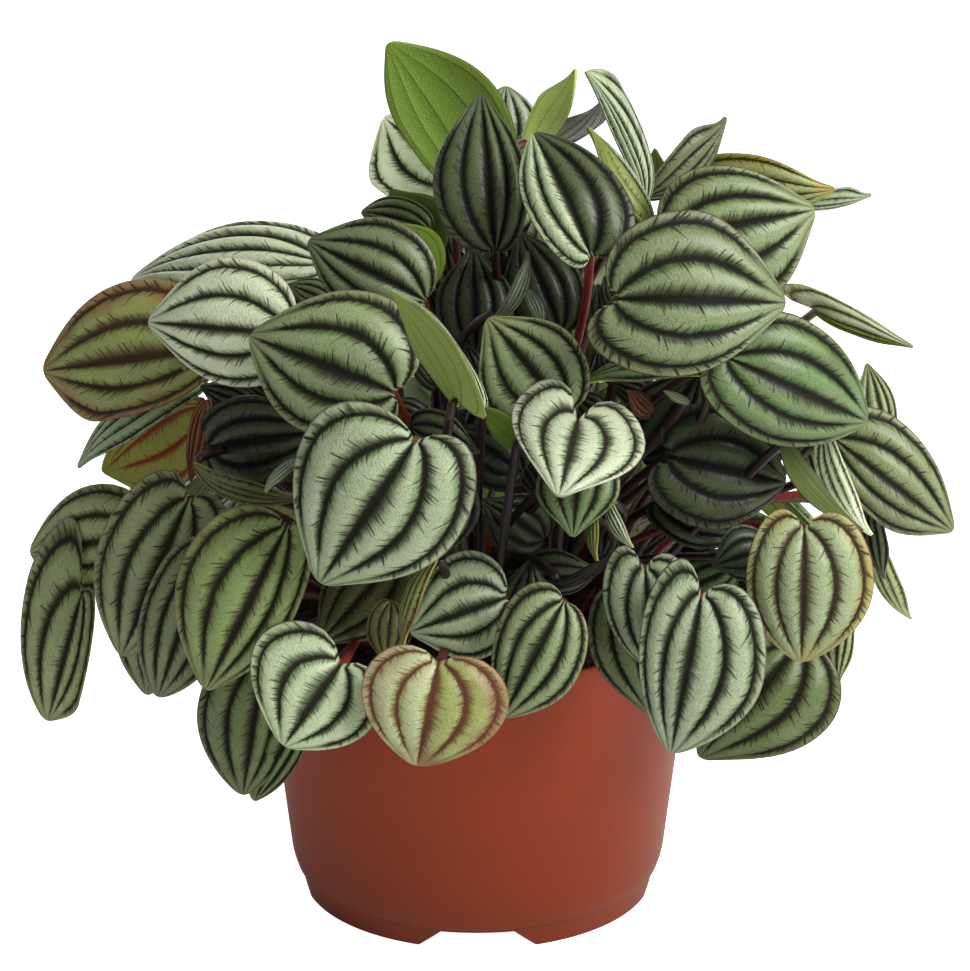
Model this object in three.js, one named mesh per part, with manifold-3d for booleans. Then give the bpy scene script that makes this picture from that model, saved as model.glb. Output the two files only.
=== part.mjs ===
// Potted peperomia with silver-banded furrowed leaves in a thin terracotta-coloured nursery pot.
// Millimetres, z up, origin on the floor under the pot axis. The front of the plant faces -y, its right +x.
import * as THREE from "three";
import { mergeVertices } from "three/addons/utils/BufferGeometryUtils.js";
import Module from "manifold-3d";

const wasm = await Module();
wasm.setup();
const { Manifold, Mesh } = wasm;

// Pot: outer wall from the foot to the lip, then the inner wall down to the floor (radius, height)
const POT_SEGMENTS = 40;
const POT_PROFILE = [
  [46.2, 0], [48.0, 0], [49.0, 6.0], [49.8, 6.4], [51.1, 10.5], [58.9, 77.6],
  [60.4, 78.6], [60.4, 82.0], [58.7, 82.0], [57.1, 76.4], [49.5, 11.0], [48.4, 5.6],
  [0, 5.6], [0, 4.0], [46.2, 4.0],
];
const NOTCH = { count: 4, base: 33, top: 20, height: 3.7, from: 42, to: 51.5 };
const DRAIN = { count: 4, radius: 3.6, at: 30, sides: 6 };

// Potting soil: a lumpy disc that fills the pot and stays clear of its wall
const SOIL = { bottom: 5.95, level: 73, lump: 1.5, clear: 0.4, seed: 7 };
const SOIL_RINGS = [0, 14, 27, 40, 50];
const SOIL_SECTORS = 20;

// Leafy stems: a fleshy stub in a plain hole in the soil, petioles fanning out of it
const RING_COUNT = 10;
const RING_RADIUS = 34;
const STUB = { radius: 6, neck: 6, bottom: 64, top: 76, hole: 6.5, spread: 4.4, sides: 8 };
const RING_NAMES = [
  "right_back", "back_right", "back", "back_left", "left_back",
  "left_front", "front_left", "front", "front_right", "right_front",
];
const CROWN_ELEVATION = 60;
const CROWN_SPLIT = 4;
const CROWNS = { crown_left: [-13, 2], crown_right: [15, 2] };

// Leaf blades and petioles
const BLADE_THICK = 1.0;
const BLADE_U = [0, 0.16, 0.42, 0.72, 1];
const BLADE_V = [-1, -0.58, -0.38, -0.19, 0, 0.19, 0.38, 0.58, 1];
const COARSE_U = [0, 0.2, 0.6, 1];
const COARSE_V = [-1, -0.58, -0.19, 0, 0.19, 0.58, 1];
const SMALL_LENGTH = 33;
const FINEST = [0.3, 0.25, 0.2, 0.15, 0.1, 0.05];
const MARGIN_SPLIT = 0.45;
const BLUNT = 0.3;
const ARCH = 0.1;
const CUP = 0.2;
const RIB = 0.034;
const PETIOLE = { parts: 3, root: 1.2, neck: 1.6, rise: 0.55, bend: 0.38, under: 2.4 };
const GOLDEN_ANGLE = 2.39996;

// The front leaves are placed as seen from one raised standpoint in front of the plant:
// across and down in picture units, and how many millimetres a point stands nearer than the pot axis.
const VIEW = { pitch: 19, distance: 1050, scale: 3.73, aim: [2, 0, 114], centre: [485, 485.5] };

// name, seat, tip, nearness of seat and tip, right half and left half (width, where widest, lobe), turn,
// extras (blunt: 0 for a pointed tip, 1 for a round one; bend: sideways; stem: the stem it grows from).
// Right and left are as seen along the leaf from its seat to its tip; a turn past 90 shows the underside.
const FRONT_LEAVES = [
  // top
  ["T01", [482, 190], [388, 43], [-14, -22], [66, 0.42, 0.06], [39, 0.55, 0.06], 172,
    { blunt: 0.5, stem: "crown_right" }],
  ["T02", [462, 182], [384, 117], [-28, -34], [42, 0.45, 0.05], [55, 0.64, 0.08], 0, { blunt: 0.5 }],
  ["T03", [430, 262], [392, 190], [-6, -18], [36, 0.5, 0.05], [38, 0.5, 0.05], 160],
  ["T04", [424, 290], [385, 222], [10, 2], [40, 0.42, 0.05], [20, 0.5, 0.05], 158],
  ["T05", [495, 249], [481, 93], [28, 4], [37, 0.4, 0.02], [54, 0.41, 0.02], 0, { blunt: 0.1 }],
  ["T06", [590, 252], [533, 133], [46, 24], [56, 0.25, 0.09], [38, 0.45, 0.08], 6, { blunt: 0.3 }],
  ["T07", [650, 203], [586, 71], [8, 0], [21, 0.88, 0], [10, 0.5, 0.02], 42,
    { bend: 5, arch: 0.04, blunt: 1 }],
  ["T08", [660, 228], [588, 126], [22, 14], [3, 0.5, 0.02], [10, 0.55, 0.02], 68, { bend: 3, arch: 0.03 }],
  ["T09", [532, 152], [577, 70], [-8, -18], [7, 0.5, 0.02], [20, 0.6, 0.02], 125],
  ["T10", [543, 152], [603, 103], [-26, -40], [15, 0.5, 0.02], [13, 0.6, 0.02], 112],
  ["T11", [500, 165], [506, 86], [-38, -44], [35, 0.55, 0.03], [30, 0.5, 0.03], 0, { blunt: 0.8 }],
  ["T12", [645, 198], [656, 149], [-14, -20], [15, 0.5, 0.02], [14, 0.5, 0.02], 150],
  ["T13", [648, 200], [727, 118], [-4, -16], [13, 0.6, 0.02], [20, 0.55, 0.02], 55],
  ["T14", [698, 184], [835, 190], [-22, -14], [30, 0.45, 0.06], [35, 0.4, 0.06], 30],
  ["T15", [790, 206], [872, 196], [-32, -36], [7, 0.45, 0.04], [10, 0.6, 0.02], 65,
    { arch: 0.03, stem: "back_right" }],
  ["T16", [668, 238], [813, 207], [32, 24], [74, 0.55, 0.1], [60, 0.3, 0.05], 0, { blunt: 0.4 }],
  ["T17", [618, 299], [786, 303], [76, 66], [70, 0.3, 0.155], [83, 0.42, 0.08], 0, { blunt: 0.35 }],
  ["T18", [814, 313], [913, 348], [6, 14], [8, 0.4, 0.02], [17, 0.1, 0.44], 35, { arch: 0 }],
  ["T19", [733, 360], [867, 421], [70, 52], [58, 0.33, 0.12], [62, 0.28, 0.04], 0, { blunt: 0.5 }],
  ["T20", [428, 228], [361, 212], [-6, -14], [24, 0.5, 0.06], [16, 0.5, 0.06], 15, { blunt: 0.6 }],
  // left
  ["L01", [322, 256], [131, 279], [14, -8], [28, 0.42, 0.03], [33, 0.45, 0.05], 45],
  ["L02", [288, 334], [148, 322], [52, 34], [68, 0.42, 0.05], [54, 0.3, 0.06], 0, { blunt: 0.15 }],
  ["L03", [206, 350], [43, 371], [18, 6], [73, 0.38, 0.06], [58, 0.72, 0.04], 0, { blunt: 0.5 }],
  ["L04", [424, 300], [308, 241], [46, 38], [55, 0.42, 0.04], [42, 0.45, 0.06], 0, { blunt: 0.4 }],
  ["L05", [393, 392], [250, 336], [70, 60], [80, 0.28, 0.09], [64, 0.45, 0.09], 0, { blunt: 0.5 }],
  ["L06", [464, 400], [393, 291], [84, 76], [27, 0.3, 0.2], [14, 0.45, 0.04], 128, { arch: 0.03 }],
  ["L07", [200, 377], [77, 467], [8, 2], [20, 0.4, 0.04], [20, 0.5, 0.03], 50],
  ["L08", [203, 398], [99, 464], [-10, -14], [16, 0.6, 0.05], [56, 0.75, 0.08], 150, { blunt: 1 }],
  ["L09", [206, 447], [330, 430], [36, 46], [50, 0.35, 0.05], [44, 0.35, 0.08], 0, { blunt: 0.4 }],
  ["L10", [300, 458], [264, 491], [80, 84], [5, 0.5, 0.02], [5, 0.5, 0.02], 60],
  ["L11", [192, 470], [304, 497], [52, 56], [16, 0.5, 0.02], [10, 0.5, 0.02], 60],
  ["L12", [413, 443], [320, 583], [92, 88], [88, 0.25, 0.07], [82, 0.32, 0.14], 0, { blunt: 0.3 }],
  ["L13", [140, 534], [30, 553], [-10, -16], [54, 0.36, 0.05], [50, 0.48, 0.06], 0, { blunt: 0.5 }],
  ["L14", [187, 503], [122, 656], [44, 40], [64, 0.34, 0.12], [56, 0.32, 0.09], 0, { blunt: 0.5 }],
  ["L15", [206, 552], [158, 697], [56, 50], [42, 0.38, 0.06], [42, 0.5, 0.1], 0, { blunt: 0.8 }],
  ["L16", [178, 560], [147, 695], [30, 30], [46, 0.5, 0.06], [34, 0.5, 0.06], 0, { blunt: 0.5 }],
  ["L17", [285, 530], [206, 690], [76, 72], [74, 0.36, 0.06], [44, 0.42, 0.1], 0, { blunt: 0.4 }],
  ["L18", [81, 597], [48, 721], [0, 2], [51, 0, 0.32], [24, 0.7, 0.1], 0, { blunt: 0.8, stem: "left_back" }],
  ["L19", [265, 655], [243, 795], [66, 60], [56, 0.4, 0.06], [36, 0.52, 0.06], 0, { blunt: 0.6 }],
  ["L20", [318, 684], [254, 801], [70, 54], [40, 0.45, 0.05], [20, 0.5, 0.05], 0, { blunt: 0.3 }],
  ["L21", [341, 664], [284, 746], [88, 94], [77, 0.27, 0.17], [57, 0.33, 0.13], 0, { blunt: 0.7 }],
  ["L22", [438, 663], [417, 766], [98, 102], [65, 0.3, 0.11], [72, 0.3, 0.11], 0, { blunt: 0.8 }],
  ["L23", [425, 470], [430, 566], [72, 72], [30, 0.4, 0.06], [50, 0.42, 0.06], 0],
  // centre and low
  ["C01", [579, 414], [559, 495], [84, 112], [60, 0.02, 0.4], [66, 0.12, 0.3], 0, { arch: 0.03, blunt: 0.4 }],
  ["C02", [565, 410], [488, 318], [60, 50], [50, 0.42, 0.06], [60, 0.28, 0.06], 0, { blunt: 0.3 }],
  ["C03", [498, 322], [529, 251], [44, 38], [9, 0.5, 0.02], [6, 0.5, 0.02], 55],
  ["C04", [712, 366], [578, 384], [56, 54], [12, 0.5, 0.02], [12, 0.5, 0.02], 65],
  ["C05", [672, 457], [786, 482], [56, 46], [60, 0.38, 0.14], [60, 0.35, 0.12], 0, { blunt: 0.5 }],
  ["C06", [662, 502], [748, 534], [44, 40], [32, 0.38, 0.12], [40, 0.35, 0.08], 0, { blunt: 0.5 }],
  ["C07", [580, 448], [573, 537], [74, 84], [38, 0.5, 0.1], [40, 0.42, 0.1], 0, { stem: "front" }],
  ["C08", [592, 515], [596, 561], [78, 84], [5, 0.4, 0.02], [6, 0.35, 0.02], 50],
  ["C09", [606, 502], [632, 548], [76, 84], [7, 0.45, 0.02], [7, 0.45, 0.02], 40],
  ["C10", [506, 598], [410, 632], [76, 80], [56, 0.3, 0.08], [46, 0.42, 0.08], 0, { blunt: 0.3 }],
  ["C11", [563, 603], [503, 717], [90, 92], [45, 0.22, 0.08], [44, 0.46, 0.03], 0, { blunt: 0.6 }],
  ["C12", [620, 590], [651, 715], [72, 72], [41, 0.4, 0.05], [40, 0.42, 0.08], 0],
  ["C13", [645, 570], [652, 670], [82, 84], [41, 0.22, 0.21], [42, 0.22, 0.13], 0, { blunt: 0.6 }],
  ["C14", [701, 597], [671, 753], [94, 96], [49, 0.18, 0.17], [71, 0.44, 0.11], 0, { blunt: 0.7 }],
  ["C15", [556, 588], [611, 553], [74, 80], [5, 0.5, 0.02], [6, 0.4, 0.02], 60],
  ["C16", [530, 575], [600, 570], [56, 60], [20, 0.45, 0.06], [24, 0.4, 0.06], 30],
  ["C17", [398, 556], [318, 644], [60, 64], [40, 0.4, 0.06], [44, 0.4, 0.06], 0],
  ["C18", [431, 556], [402, 650], [82, 86], [6, 0.5, 0.02], [8, 0.5, 0.02], 60],
  ["C19", [410, 428], [480, 452], [56, 62], [20, 0.4, 0.06], [26, 0.4, 0.06], 20],
  ["C20", [526, 440], [476, 404], [66, 60], [6, 0.4, 0.03], [16, 0.4, 0.05], 140],
  ["C21", [392, 602], [386, 664], [74, 78], [22, 0.45, 0.06], [22, 0.45, 0.06], 0, { stem: "front_left" }],
  ["C22", [541, 322], [522, 286], [40, 36], [9, 0.5, 0.02], [6, 0.5, 0.02], 50],
  // right
  ["R01", [804, 530], [801, 662], [78, 80], [53, 0.36, 0.14], [66, 0.4, 0.13], 0, { blunt: 0.8 }],
  ["R02", [800, 642], [699, 757], [56, 62], [52, 0.35, 0.05], [74, 0.3, 0.06], 0, { blunt: 0.3 }],
  ["R03", [846, 596], [838, 684], [34, 34], [26, 0.4, 0.05], [15, 0.5, 0.05], 20],
  ["R04", [776, 440], [862, 532], [56, 56], [18, 0.45, 0.03], [12, 0.45, 0.03], 125],
  ["R05", [820, 434], [871, 536], [46, 46], [16, 0.45, 0.03], [14, 0.4, 0.03], 55],
  ["R06", [838, 442], [953, 531], [34, 30], [38, 0.55, 0.06], [52, 0.22, 0.08], 0, { blunt: 0.3 }],
  ["R07", [885, 440], [867, 363], [4, -4], [17, 0.45, 0.03], [24, 0.45, 0.03], 20],
  ["R08", [868, 500], [884, 579], [16, 14], [10, 0.5, 0.03], [14, 0.5, 0.03], 35],
  ["R09", [872, 540], [911, 620], [6, 2], [10, 0.5, 0.02], [13, 0.5, 0.02], 55],
  ["R10", [766, 548], [712, 566], [62, 66], [30, 0.4, 0.06], [26, 0.4, 0.06], 0],
  // deep inside
  ["I01", [476, 352], [473, 247], [26, 12], [38, 0.45, 0.05], [38, 0.45, 0.05], 0, { stem: "crown_right" }],
  ["I02", [545, 540], [482, 500], [44, 50], [32, 0.4, 0.06], [34, 0.4, 0.06], 0, { stem: "front" }],
  ["I03", [560, 330], [520, 232], [16, 4], [40, 0.4, 0.06], [40, 0.4, 0.06], 0],
  ["I05", [640, 455], [700, 372], [34, 26], [40, 0.4, 0.06], [40, 0.4, 0.06], 0],
  ["I07", [520, 650], [530, 560], [66, 60], [34, 0.4, 0.06], [34, 0.4, 0.06], 0],
];

// Leaves of the far side, in tiers from low to high: seat and tip as [radius, height], then the half width
const BACK_TIERS = [
  { count: 9, from: 6, to: 172, seat: [84, 100], tip: [109, 64], half: 17.5 },
  { count: 8, from: 14, to: 164, seat: [79, 128], tip: [111, 103], half: 16.5 },
  { count: 6, from: 24, to: 156, seat: [62, 151], tip: [94, 136], half: 15 },
  { count: 3, from: 46, to: 110, seat: [46, 170], tip: [80, 172], half: 14.5 },
];
const STAGGER = 4.5;

// Leaves of the two flanks: seat and tip as [degrees round the pot from +X, radius, height], and half width
const SIDE_LEAVES = [
  [[-24, 70, 176], [-30, 90, 156], 13],
  [[-14, 74, 150], [-13, 94, 131], 13],
  [[-9, 80, 106], [-8, 94, 82], 12],
  [[-25, 80, 112], [-27, 97, 86], 11],
  [[-2, 60, 172], [0, 82, 156], 12],
  [[199, 64, 170], [197, 80, 154], 9],
  [[203, 70, 122], [204, 88, 100], 10],
  [[192, 80, 104], [194, 96, 82], 10],
  [[217, 72, 104], [219, 86, 82], 10],
  [[193, 58, 132], [192, 76, 112], 10],
];

const MATERIALS = {
  pot: new THREE.MeshStandardMaterial({ color: 0x9c4e35, roughness: 0.45, metalness: 0 }),
  soil: new THREE.MeshStandardMaterial({ color: 0x2a2019, roughness: 0.95, metalness: 0 }),
  foliage: new THREE.MeshStandardMaterial({ color: 0x6f8c66, roughness: 0.4, metalness: 0 }),
};

const radians = THREE.MathUtils.degToRad;

// Repeatable draw between 0 and 1
function draw(seed) {
  const x = Math.sin(seed * 12.9898 + 4.1414) * 43758.5453;
  return x - Math.floor(x);
}

// Closed solid from a list of points and triangles
function solidOf(points, triangles) {
  return new Manifold(
    new Mesh({
      numProp: 3,
      vertProperties: new Float32Array(points.flat()),
      triVerts: new Uint32Array(triangles.flat()),
    }),
  );
}

// Closed solid from a geometry with repeated vertices
function solidOfGeometry(geometry) {
  const bare = new THREE.BufferGeometry()
    .setAttribute("position", geometry.getAttribute("position"))
    .setIndex(geometry.index);
  const merged = mergeVertices(bare, 1e-4);
  return new Manifold(
    new Mesh({
      numProp: 3,
      vertProperties: merged.attributes.position.array,
      triVerts: new Uint32Array(merged.index.array),
    }),
  );
}

// Whether every edge of a solid, its points rounded, belongs to just two triangles
function hasPlainEdges(solid) {
  const { vertProperties, triVerts } = solid.getMesh();
  const at = (i) => Array.from(vertProperties.subarray(3 * i, 3 * i + 3), (x) => x.toFixed(3)).join(" ");
  const uses = new Map();
  for (let i = 0; i < triVerts.length; i += 3) {
    const corners = [at(triVerts[i]), at(triVerts[i + 1]), at(triVerts[i + 2])];
    corners.forEach((corner, k) => {
      const edge = [corner, corners[(k + 1) % 3]].sort().join("|");
      uses.set(edge, (uses.get(edge) ?? 0) + 1);
    });
  }
  return [...uses.values()].every((count) => count === 2);
}

// Joins what a union leaves shorter than a finest size, and fills pockets shut in on all sides.
// The finest size shrinks until no two edges fall together.
function tidy(solid) {
  for (const finest of FINEST) {
    const bodies = solid.asOriginal().simplify(finest).decompose();
    const whole = Manifold.union(bodies.filter((body) => body.volume() > 0));
    if (hasPlainEdges(whole)) return whole;
  }
  throw new Error("two edges fall together at every finest size");
}

// Named mesh of a material from a solid
function meshOf(name, solid, material) {
  const made = solid.getMesh();
  const geometry = new THREE.BufferGeometry()
    .setAttribute("position", new THREE.BufferAttribute(made.vertProperties, 3))
    .setIndex(new THREE.BufferAttribute(made.triVerts, 1));
  const mesh = new THREE.Mesh(geometry, material);
  mesh.name = name;
  return mesh;
}

// Body of revolution about z from a closed profile of (radius, height)
function lathe(profile, segments) {
  const points = [...profile, profile[0]].map(([r, z]) => new THREE.Vector2(r, z));
  const geometry = new THREE.LatheGeometry(points, segments).rotateX(Math.PI / 2);
  const solid = solidOfGeometry(geometry);
  if (solid.volume() > 0) return solid;
  const index = geometry.index.array;
  for (let i = 0; i < index.length; i += 3) [index[i + 1], index[i + 2]] = [index[i + 2], index[i + 1]];
  return solidOfGeometry(geometry);
}

function upright(radius, bottom, top, sides, radiusTop = radius) {
  const geometry = new THREE.CylinderGeometry(radiusTop, radius, top - bottom, sides);
  geometry.rotateX(Math.PI / 2).translate(0, 0, (top + bottom) / 2);
  return solidOfGeometry(geometry);
}

// Thin pot: wall with a stepped base ring, notched feet and drain holes
function pot() {
  let body = lathe(POT_PROFILE, POT_SEGMENTS);
  const outline = new THREE.Shape([
    new THREE.Vector2(-NOTCH.base / 2, -1),
    new THREE.Vector2(NOTCH.base / 2, -1),
    new THREE.Vector2(NOTCH.top / 2, NOTCH.height),
    new THREE.Vector2(-NOTCH.top / 2, NOTCH.height),
  ]);
  for (let i = 0; i < NOTCH.count; i++) {
    const wedge = new THREE.ExtrudeGeometry(outline, { depth: NOTCH.to - NOTCH.from, bevelEnabled: false });
    wedge.rotateX(Math.PI / 2).translate(0, -NOTCH.from, 0);
    wedge.rotateZ((i * 2 * Math.PI) / NOTCH.count);
    body = body.subtract(solidOfGeometry(wedge));
  }
  for (let i = 0; i < DRAIN.count; i++) {
    const angle = ((i + 0.5) * 2 * Math.PI) / DRAIN.count;
    const hole = upright(DRAIN.radius, 2, 7, DRAIN.sides);
    body = body.subtract(hole.translate(DRAIN.at * Math.cos(angle), DRAIN.at * Math.sin(angle), 0));
  }
  return body;
}

// Radius of the inner wall of the pot at a height above its floor
function innerRadius(z) {
  const wall = [[48.4, 5.6], [49.5, 11.0], [57.1, 76.4]];
  const k = wall.findIndex(([, height], i) => i > 0 && z <= height);
  const [r0, z0] = wall[k - 1];
  const [r1, z1] = wall[k];
  return r0 + ((r1 - r0) * (z - z0)) / (z1 - z0);
}

// Lumpy soil with one hole a stub
function soil() {
  const heights = [SOIL.bottom, 11, SOIL.level - 2];
  const rows = heights.map((z) => ({ r: innerRadius(z) - SOIL.clear, z, lump: 0 }));
  const rim = rows[rows.length - 1].r;
  [...SOIL_RINGS].reverse().forEach((r, i) => {
    rows.push({ r: Math.min(r, rim - 1), z: SOIL.level - (i ? 0 : 1), lump: SOIL.lump });
  });
  const points = [[0, 0, SOIL.bottom]];
  rows.slice(0, -1).forEach(({ r, z, lump }, i) => {
    for (let k = 0; k < SOIL_SECTORS; k++) {
      const angle = (k * 2 * Math.PI) / SOIL_SECTORS;
      const bump = lump * (2 * draw(SOIL.seed + i * SOIL_SECTORS + k) - 1);
      points.push([r * Math.cos(angle), r * Math.sin(angle), z + bump]);
    }
  });
  points.push([0, 0, SOIL.level]);
  const at = (i, k) => 1 + i * SOIL_SECTORS + (k % SOIL_SECTORS);
  const last = rows.length - 2;
  const triangles = [];
  for (let k = 0; k < SOIL_SECTORS; k++) {
    triangles.push([0, at(0, k + 1), at(0, k)], [points.length - 1, at(last, k), at(last, k + 1)]);
    for (let i = 0; i < last; i++) {
      triangles.push([at(i, k), at(i, k + 1), at(i + 1, k + 1)], [at(i, k), at(i + 1, k + 1), at(i + 1, k)]);
    }
  }
  let body = solidOf(points, triangles);
  for (const [x, y] of Object.values(CROWNS)) {
    const hole = upright(STUB.hole, STUB.bottom - 0.35, 90, STUB.sides);
    body = body.subtract(hole.translate(x, y, 0));
  }
  return body;
}

// Point seen at (across, down) in the front view, standing `near` millimetres before the pot axis
function seenPoint([across, down], near) {
  const pitch = radians(VIEW.pitch);
  const forward = new THREE.Vector3(0, Math.cos(pitch), -Math.sin(pitch));
  const up = new THREE.Vector3(0, Math.sin(pitch), Math.cos(pitch));
  const focal = VIEW.distance * VIEW.scale;
  const ray = forward
    .clone()
    .add(new THREE.Vector3((across - VIEW.centre[0]) / focal, 0, 0))
    .addScaledVector(up, -(down - VIEW.centre[1]) / focal);
  const eye = standpoint();
  return eye.addScaledVector(ray, (-near - eye.y) / ray.y);
}

function standpoint() {
  const pitch = radians(VIEW.pitch);
  const [x, y, z] = VIEW.aim;
  return new THREE.Vector3(
    x,
    y - VIEW.distance * Math.cos(pitch),
    z + VIEW.distance * Math.sin(pitch),
  );
}

// Seat, length, axes and half widths of a leaf: `face` is where its upper side looks before the turn
function leafOf(name, seat, tip, face, right, left, turn, extras = {}) {
  const axis = tip.clone().sub(seat).normalize();
  const length = seat.distanceTo(tip);
  const flat = face.clone().addScaledVector(axis, -face.dot(axis)).normalize();
  const side = new THREE.Vector3().crossVectors(axis, flat);
  const normal = flat.multiplyScalar(Math.cos(radians(turn))).addScaledVector(side, Math.sin(radians(turn)));
  const across = new THREE.Vector3().crossVectors(axis, normal);
  return { name, seat, axis, length, normal, across, right, left, ...extras };
}

// Leaves of the front half, from the table
function frontLeaves() {
  return FRONT_LEAVES.map(([name, seatAt, tipAt, near, right, left, turn, extras]) => {
    const seat = seenPoint(seatAt, near[0]);
    const tip = seenPoint(tipAt, near[1]);
    const face = standpoint().sub(seat.clone().add(tip).multiplyScalar(0.5));
    const cosine = Math.cos(radians(turn));
    const size = ([width, at, lobe]) => [width / VIEW.scale / Math.abs(cosine), at, lobe];
    const halves = cosine < 0 ? [left, right] : [right, left];
    return leafOf(name, seat, tip, face, size(halves[0]), size(halves[1]), turn, extras);
  });
}

// Leaf that looks out of the dome, from seat and tip as [turn round the pot in radians, radius, height]
function outerLeaf(name, seatAt, tipAt, right, left, turn) {
  const place = ([angle, radius, height]) =>
    new THREE.Vector3(radius * Math.cos(angle), radius * Math.sin(angle), height);
  const azimuth = seatAt[0];
  const face = new THREE.Vector3(0.75 * Math.cos(azimuth), 0.75 * Math.sin(azimuth), 0.65);
  const size = (width) => [width, 0.33, 0.1];
  const extras = { coarse: true, blunt: BLUNT };
  return leafOf(name, place(seatAt), place(tipAt), face, size(right), size(left), turn, extras);
}

// Leaves of the back half, placed tier by tier round the dome
function backLeaves() {
  const leaves = [];
  for (const tier of BACK_TIERS) {
    for (let i = 0; i < tier.count; i++) {
      const k = leaves.length + 1;
      const out = STAGGER * (i % 2 ? 1 : -1);
      const shift = (seed, range) => range * (draw(k + seed) - 0.5);
      const share = (i + 0.5) / tier.count;
      const azimuth = radians(tier.from + (tier.to - tier.from) * share + shift(0, 4));
      const swing = azimuth + radians(shift(50, 16));
      const seat = [azimuth, tier.seat[0] + shift(200, 4) + out, tier.seat[1] + shift(100, 6) + out];
      const tip = [swing, tier.tip[0] + shift(250, 4) + out, tier.tip[1] + shift(150, 10) + out];
      const half = tier.half * (0.95 + 0.2 * draw(k + 300));
      const other = half * (0.9 + 0.2 * draw(k + 350));
      const name = "B" + String(k).padStart(2, "0");
      leaves.push(outerLeaf(name, seat, tip, half, other, shift(400, 30)));
    }
  }
  return leaves;
}

// Leaves of the two flanks, from their own table
function sideLeaves() {
  return SIDE_LEAVES.map(([seat, tip, half], i) => {
    const [seatAt, tipAt] = [seat, tip].map(([degrees, ...place]) => [radians(degrees), ...place]);
    return outerLeaf("S" + String(i + 1).padStart(2, "0"), seatAt, tipAt, half, half * 0.95, 0);
  });
}

function cubic(a, b, c, d, t) {
  const s = 1 - t;
  return s * s * s * a + 3 * s * s * t * b + 3 * s * t * t * c + t * t * t * d;
}

// Outline of one half a unit long: out round the base lobe to the widest point, then in to the tip
function outline(u, half, at, lobe, blunt) {
  if (u < MARGIN_SPLIT) {
    const t = u / MARGIN_SPLIT;
    return [cubic(0, 0.42 * half, half, half, t), cubic(0, -2.3 * lobe, at - 0.75 * (at + lobe), at, t)];
  }
  const t = (u - MARGIN_SPLIT) / (1 - MARGIN_SPLIT);
  const pointed = 0.06 + 0.22 * (1 - at);
  const round = 0.13 * (1 - at);
  return [
    cubic(half, half, (0.42 + 0.14 * blunt) * half, 0, t),
    cubic(at, at + (0.42 + 0.04 * blunt) * (1 - at), 1 - pointed + (pointed - round) * blunt, 1, t),
  ];
}

// Upper face of the blade: u from seat to tip, v across from margin to margin.
// The veins lie in furrows that run from the seat to the tip, with raised ribs between them.
function bladePoint(leaf, u, v) {
  const [width, at, lobe] = v < 0 ? leaf.left : leaf.right;
  const [edge, along] = outline(u, width / leaf.length, at, lobe, leaf.blunt ?? 0);
  const half = (leaf.right[0] + leaf.left[0]) / 2 / leaf.length;
  const a = Math.abs(v);
  const middle = u ** 1.15;
  const w = edge * v;
  const bend = (leaf.bend ?? 0) / VIEW.scale / leaf.length;
  const p = w + bend * 4 * middle * (1 - middle);
  const q = middle + (along - middle) * a ** 1.7;
  const furrow = Math.abs(Math.sin(Math.PI * (2.2 * a + 1.1 * a * a))) ** 0.8;
  const h =
    (leaf.arch ?? ARCH) * 4 * q * (1 - q) -
    CUP * half * (w / half) ** 2 +
    RIB * furrow * Math.sin(Math.PI * u) ** 0.5 -
    0.05 * Math.exp(-((w / 0.16) ** 2) - (q / 0.16) ** 2);
  return leaf.seat
    .clone()
    .addScaledVector(leaf.across, leaf.length * p)
    .addScaledVector(leaf.axis, leaf.length * q)
    .addScaledVector(leaf.normal, leaf.length * h);
}

// Centre line of a petiole: it climbs out of the stub and bends over into the seat of the blade
function petioleLine(leaf, start) {
  const end = leaf.seat.clone().addScaledVector(leaf.normal, -PETIOLE.under).addScaledVector(leaf.axis, 0.8);
  const reach = end.clone().sub(start);
  const span = reach.length();
  const arrive = reach.clone().normalize().lerp(leaf.normal, 0.55).normalize();
  const lean = new THREE.Vector3(reach.x * 0.12, reach.y * 0.12, PETIOLE.rise * span);
  const bend = end.clone().addScaledVector(arrive, -PETIOLE.bend * span);
  return new THREE.CubicBezierCurve3(start, start.clone().add(lean), bend, end);
}

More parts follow.
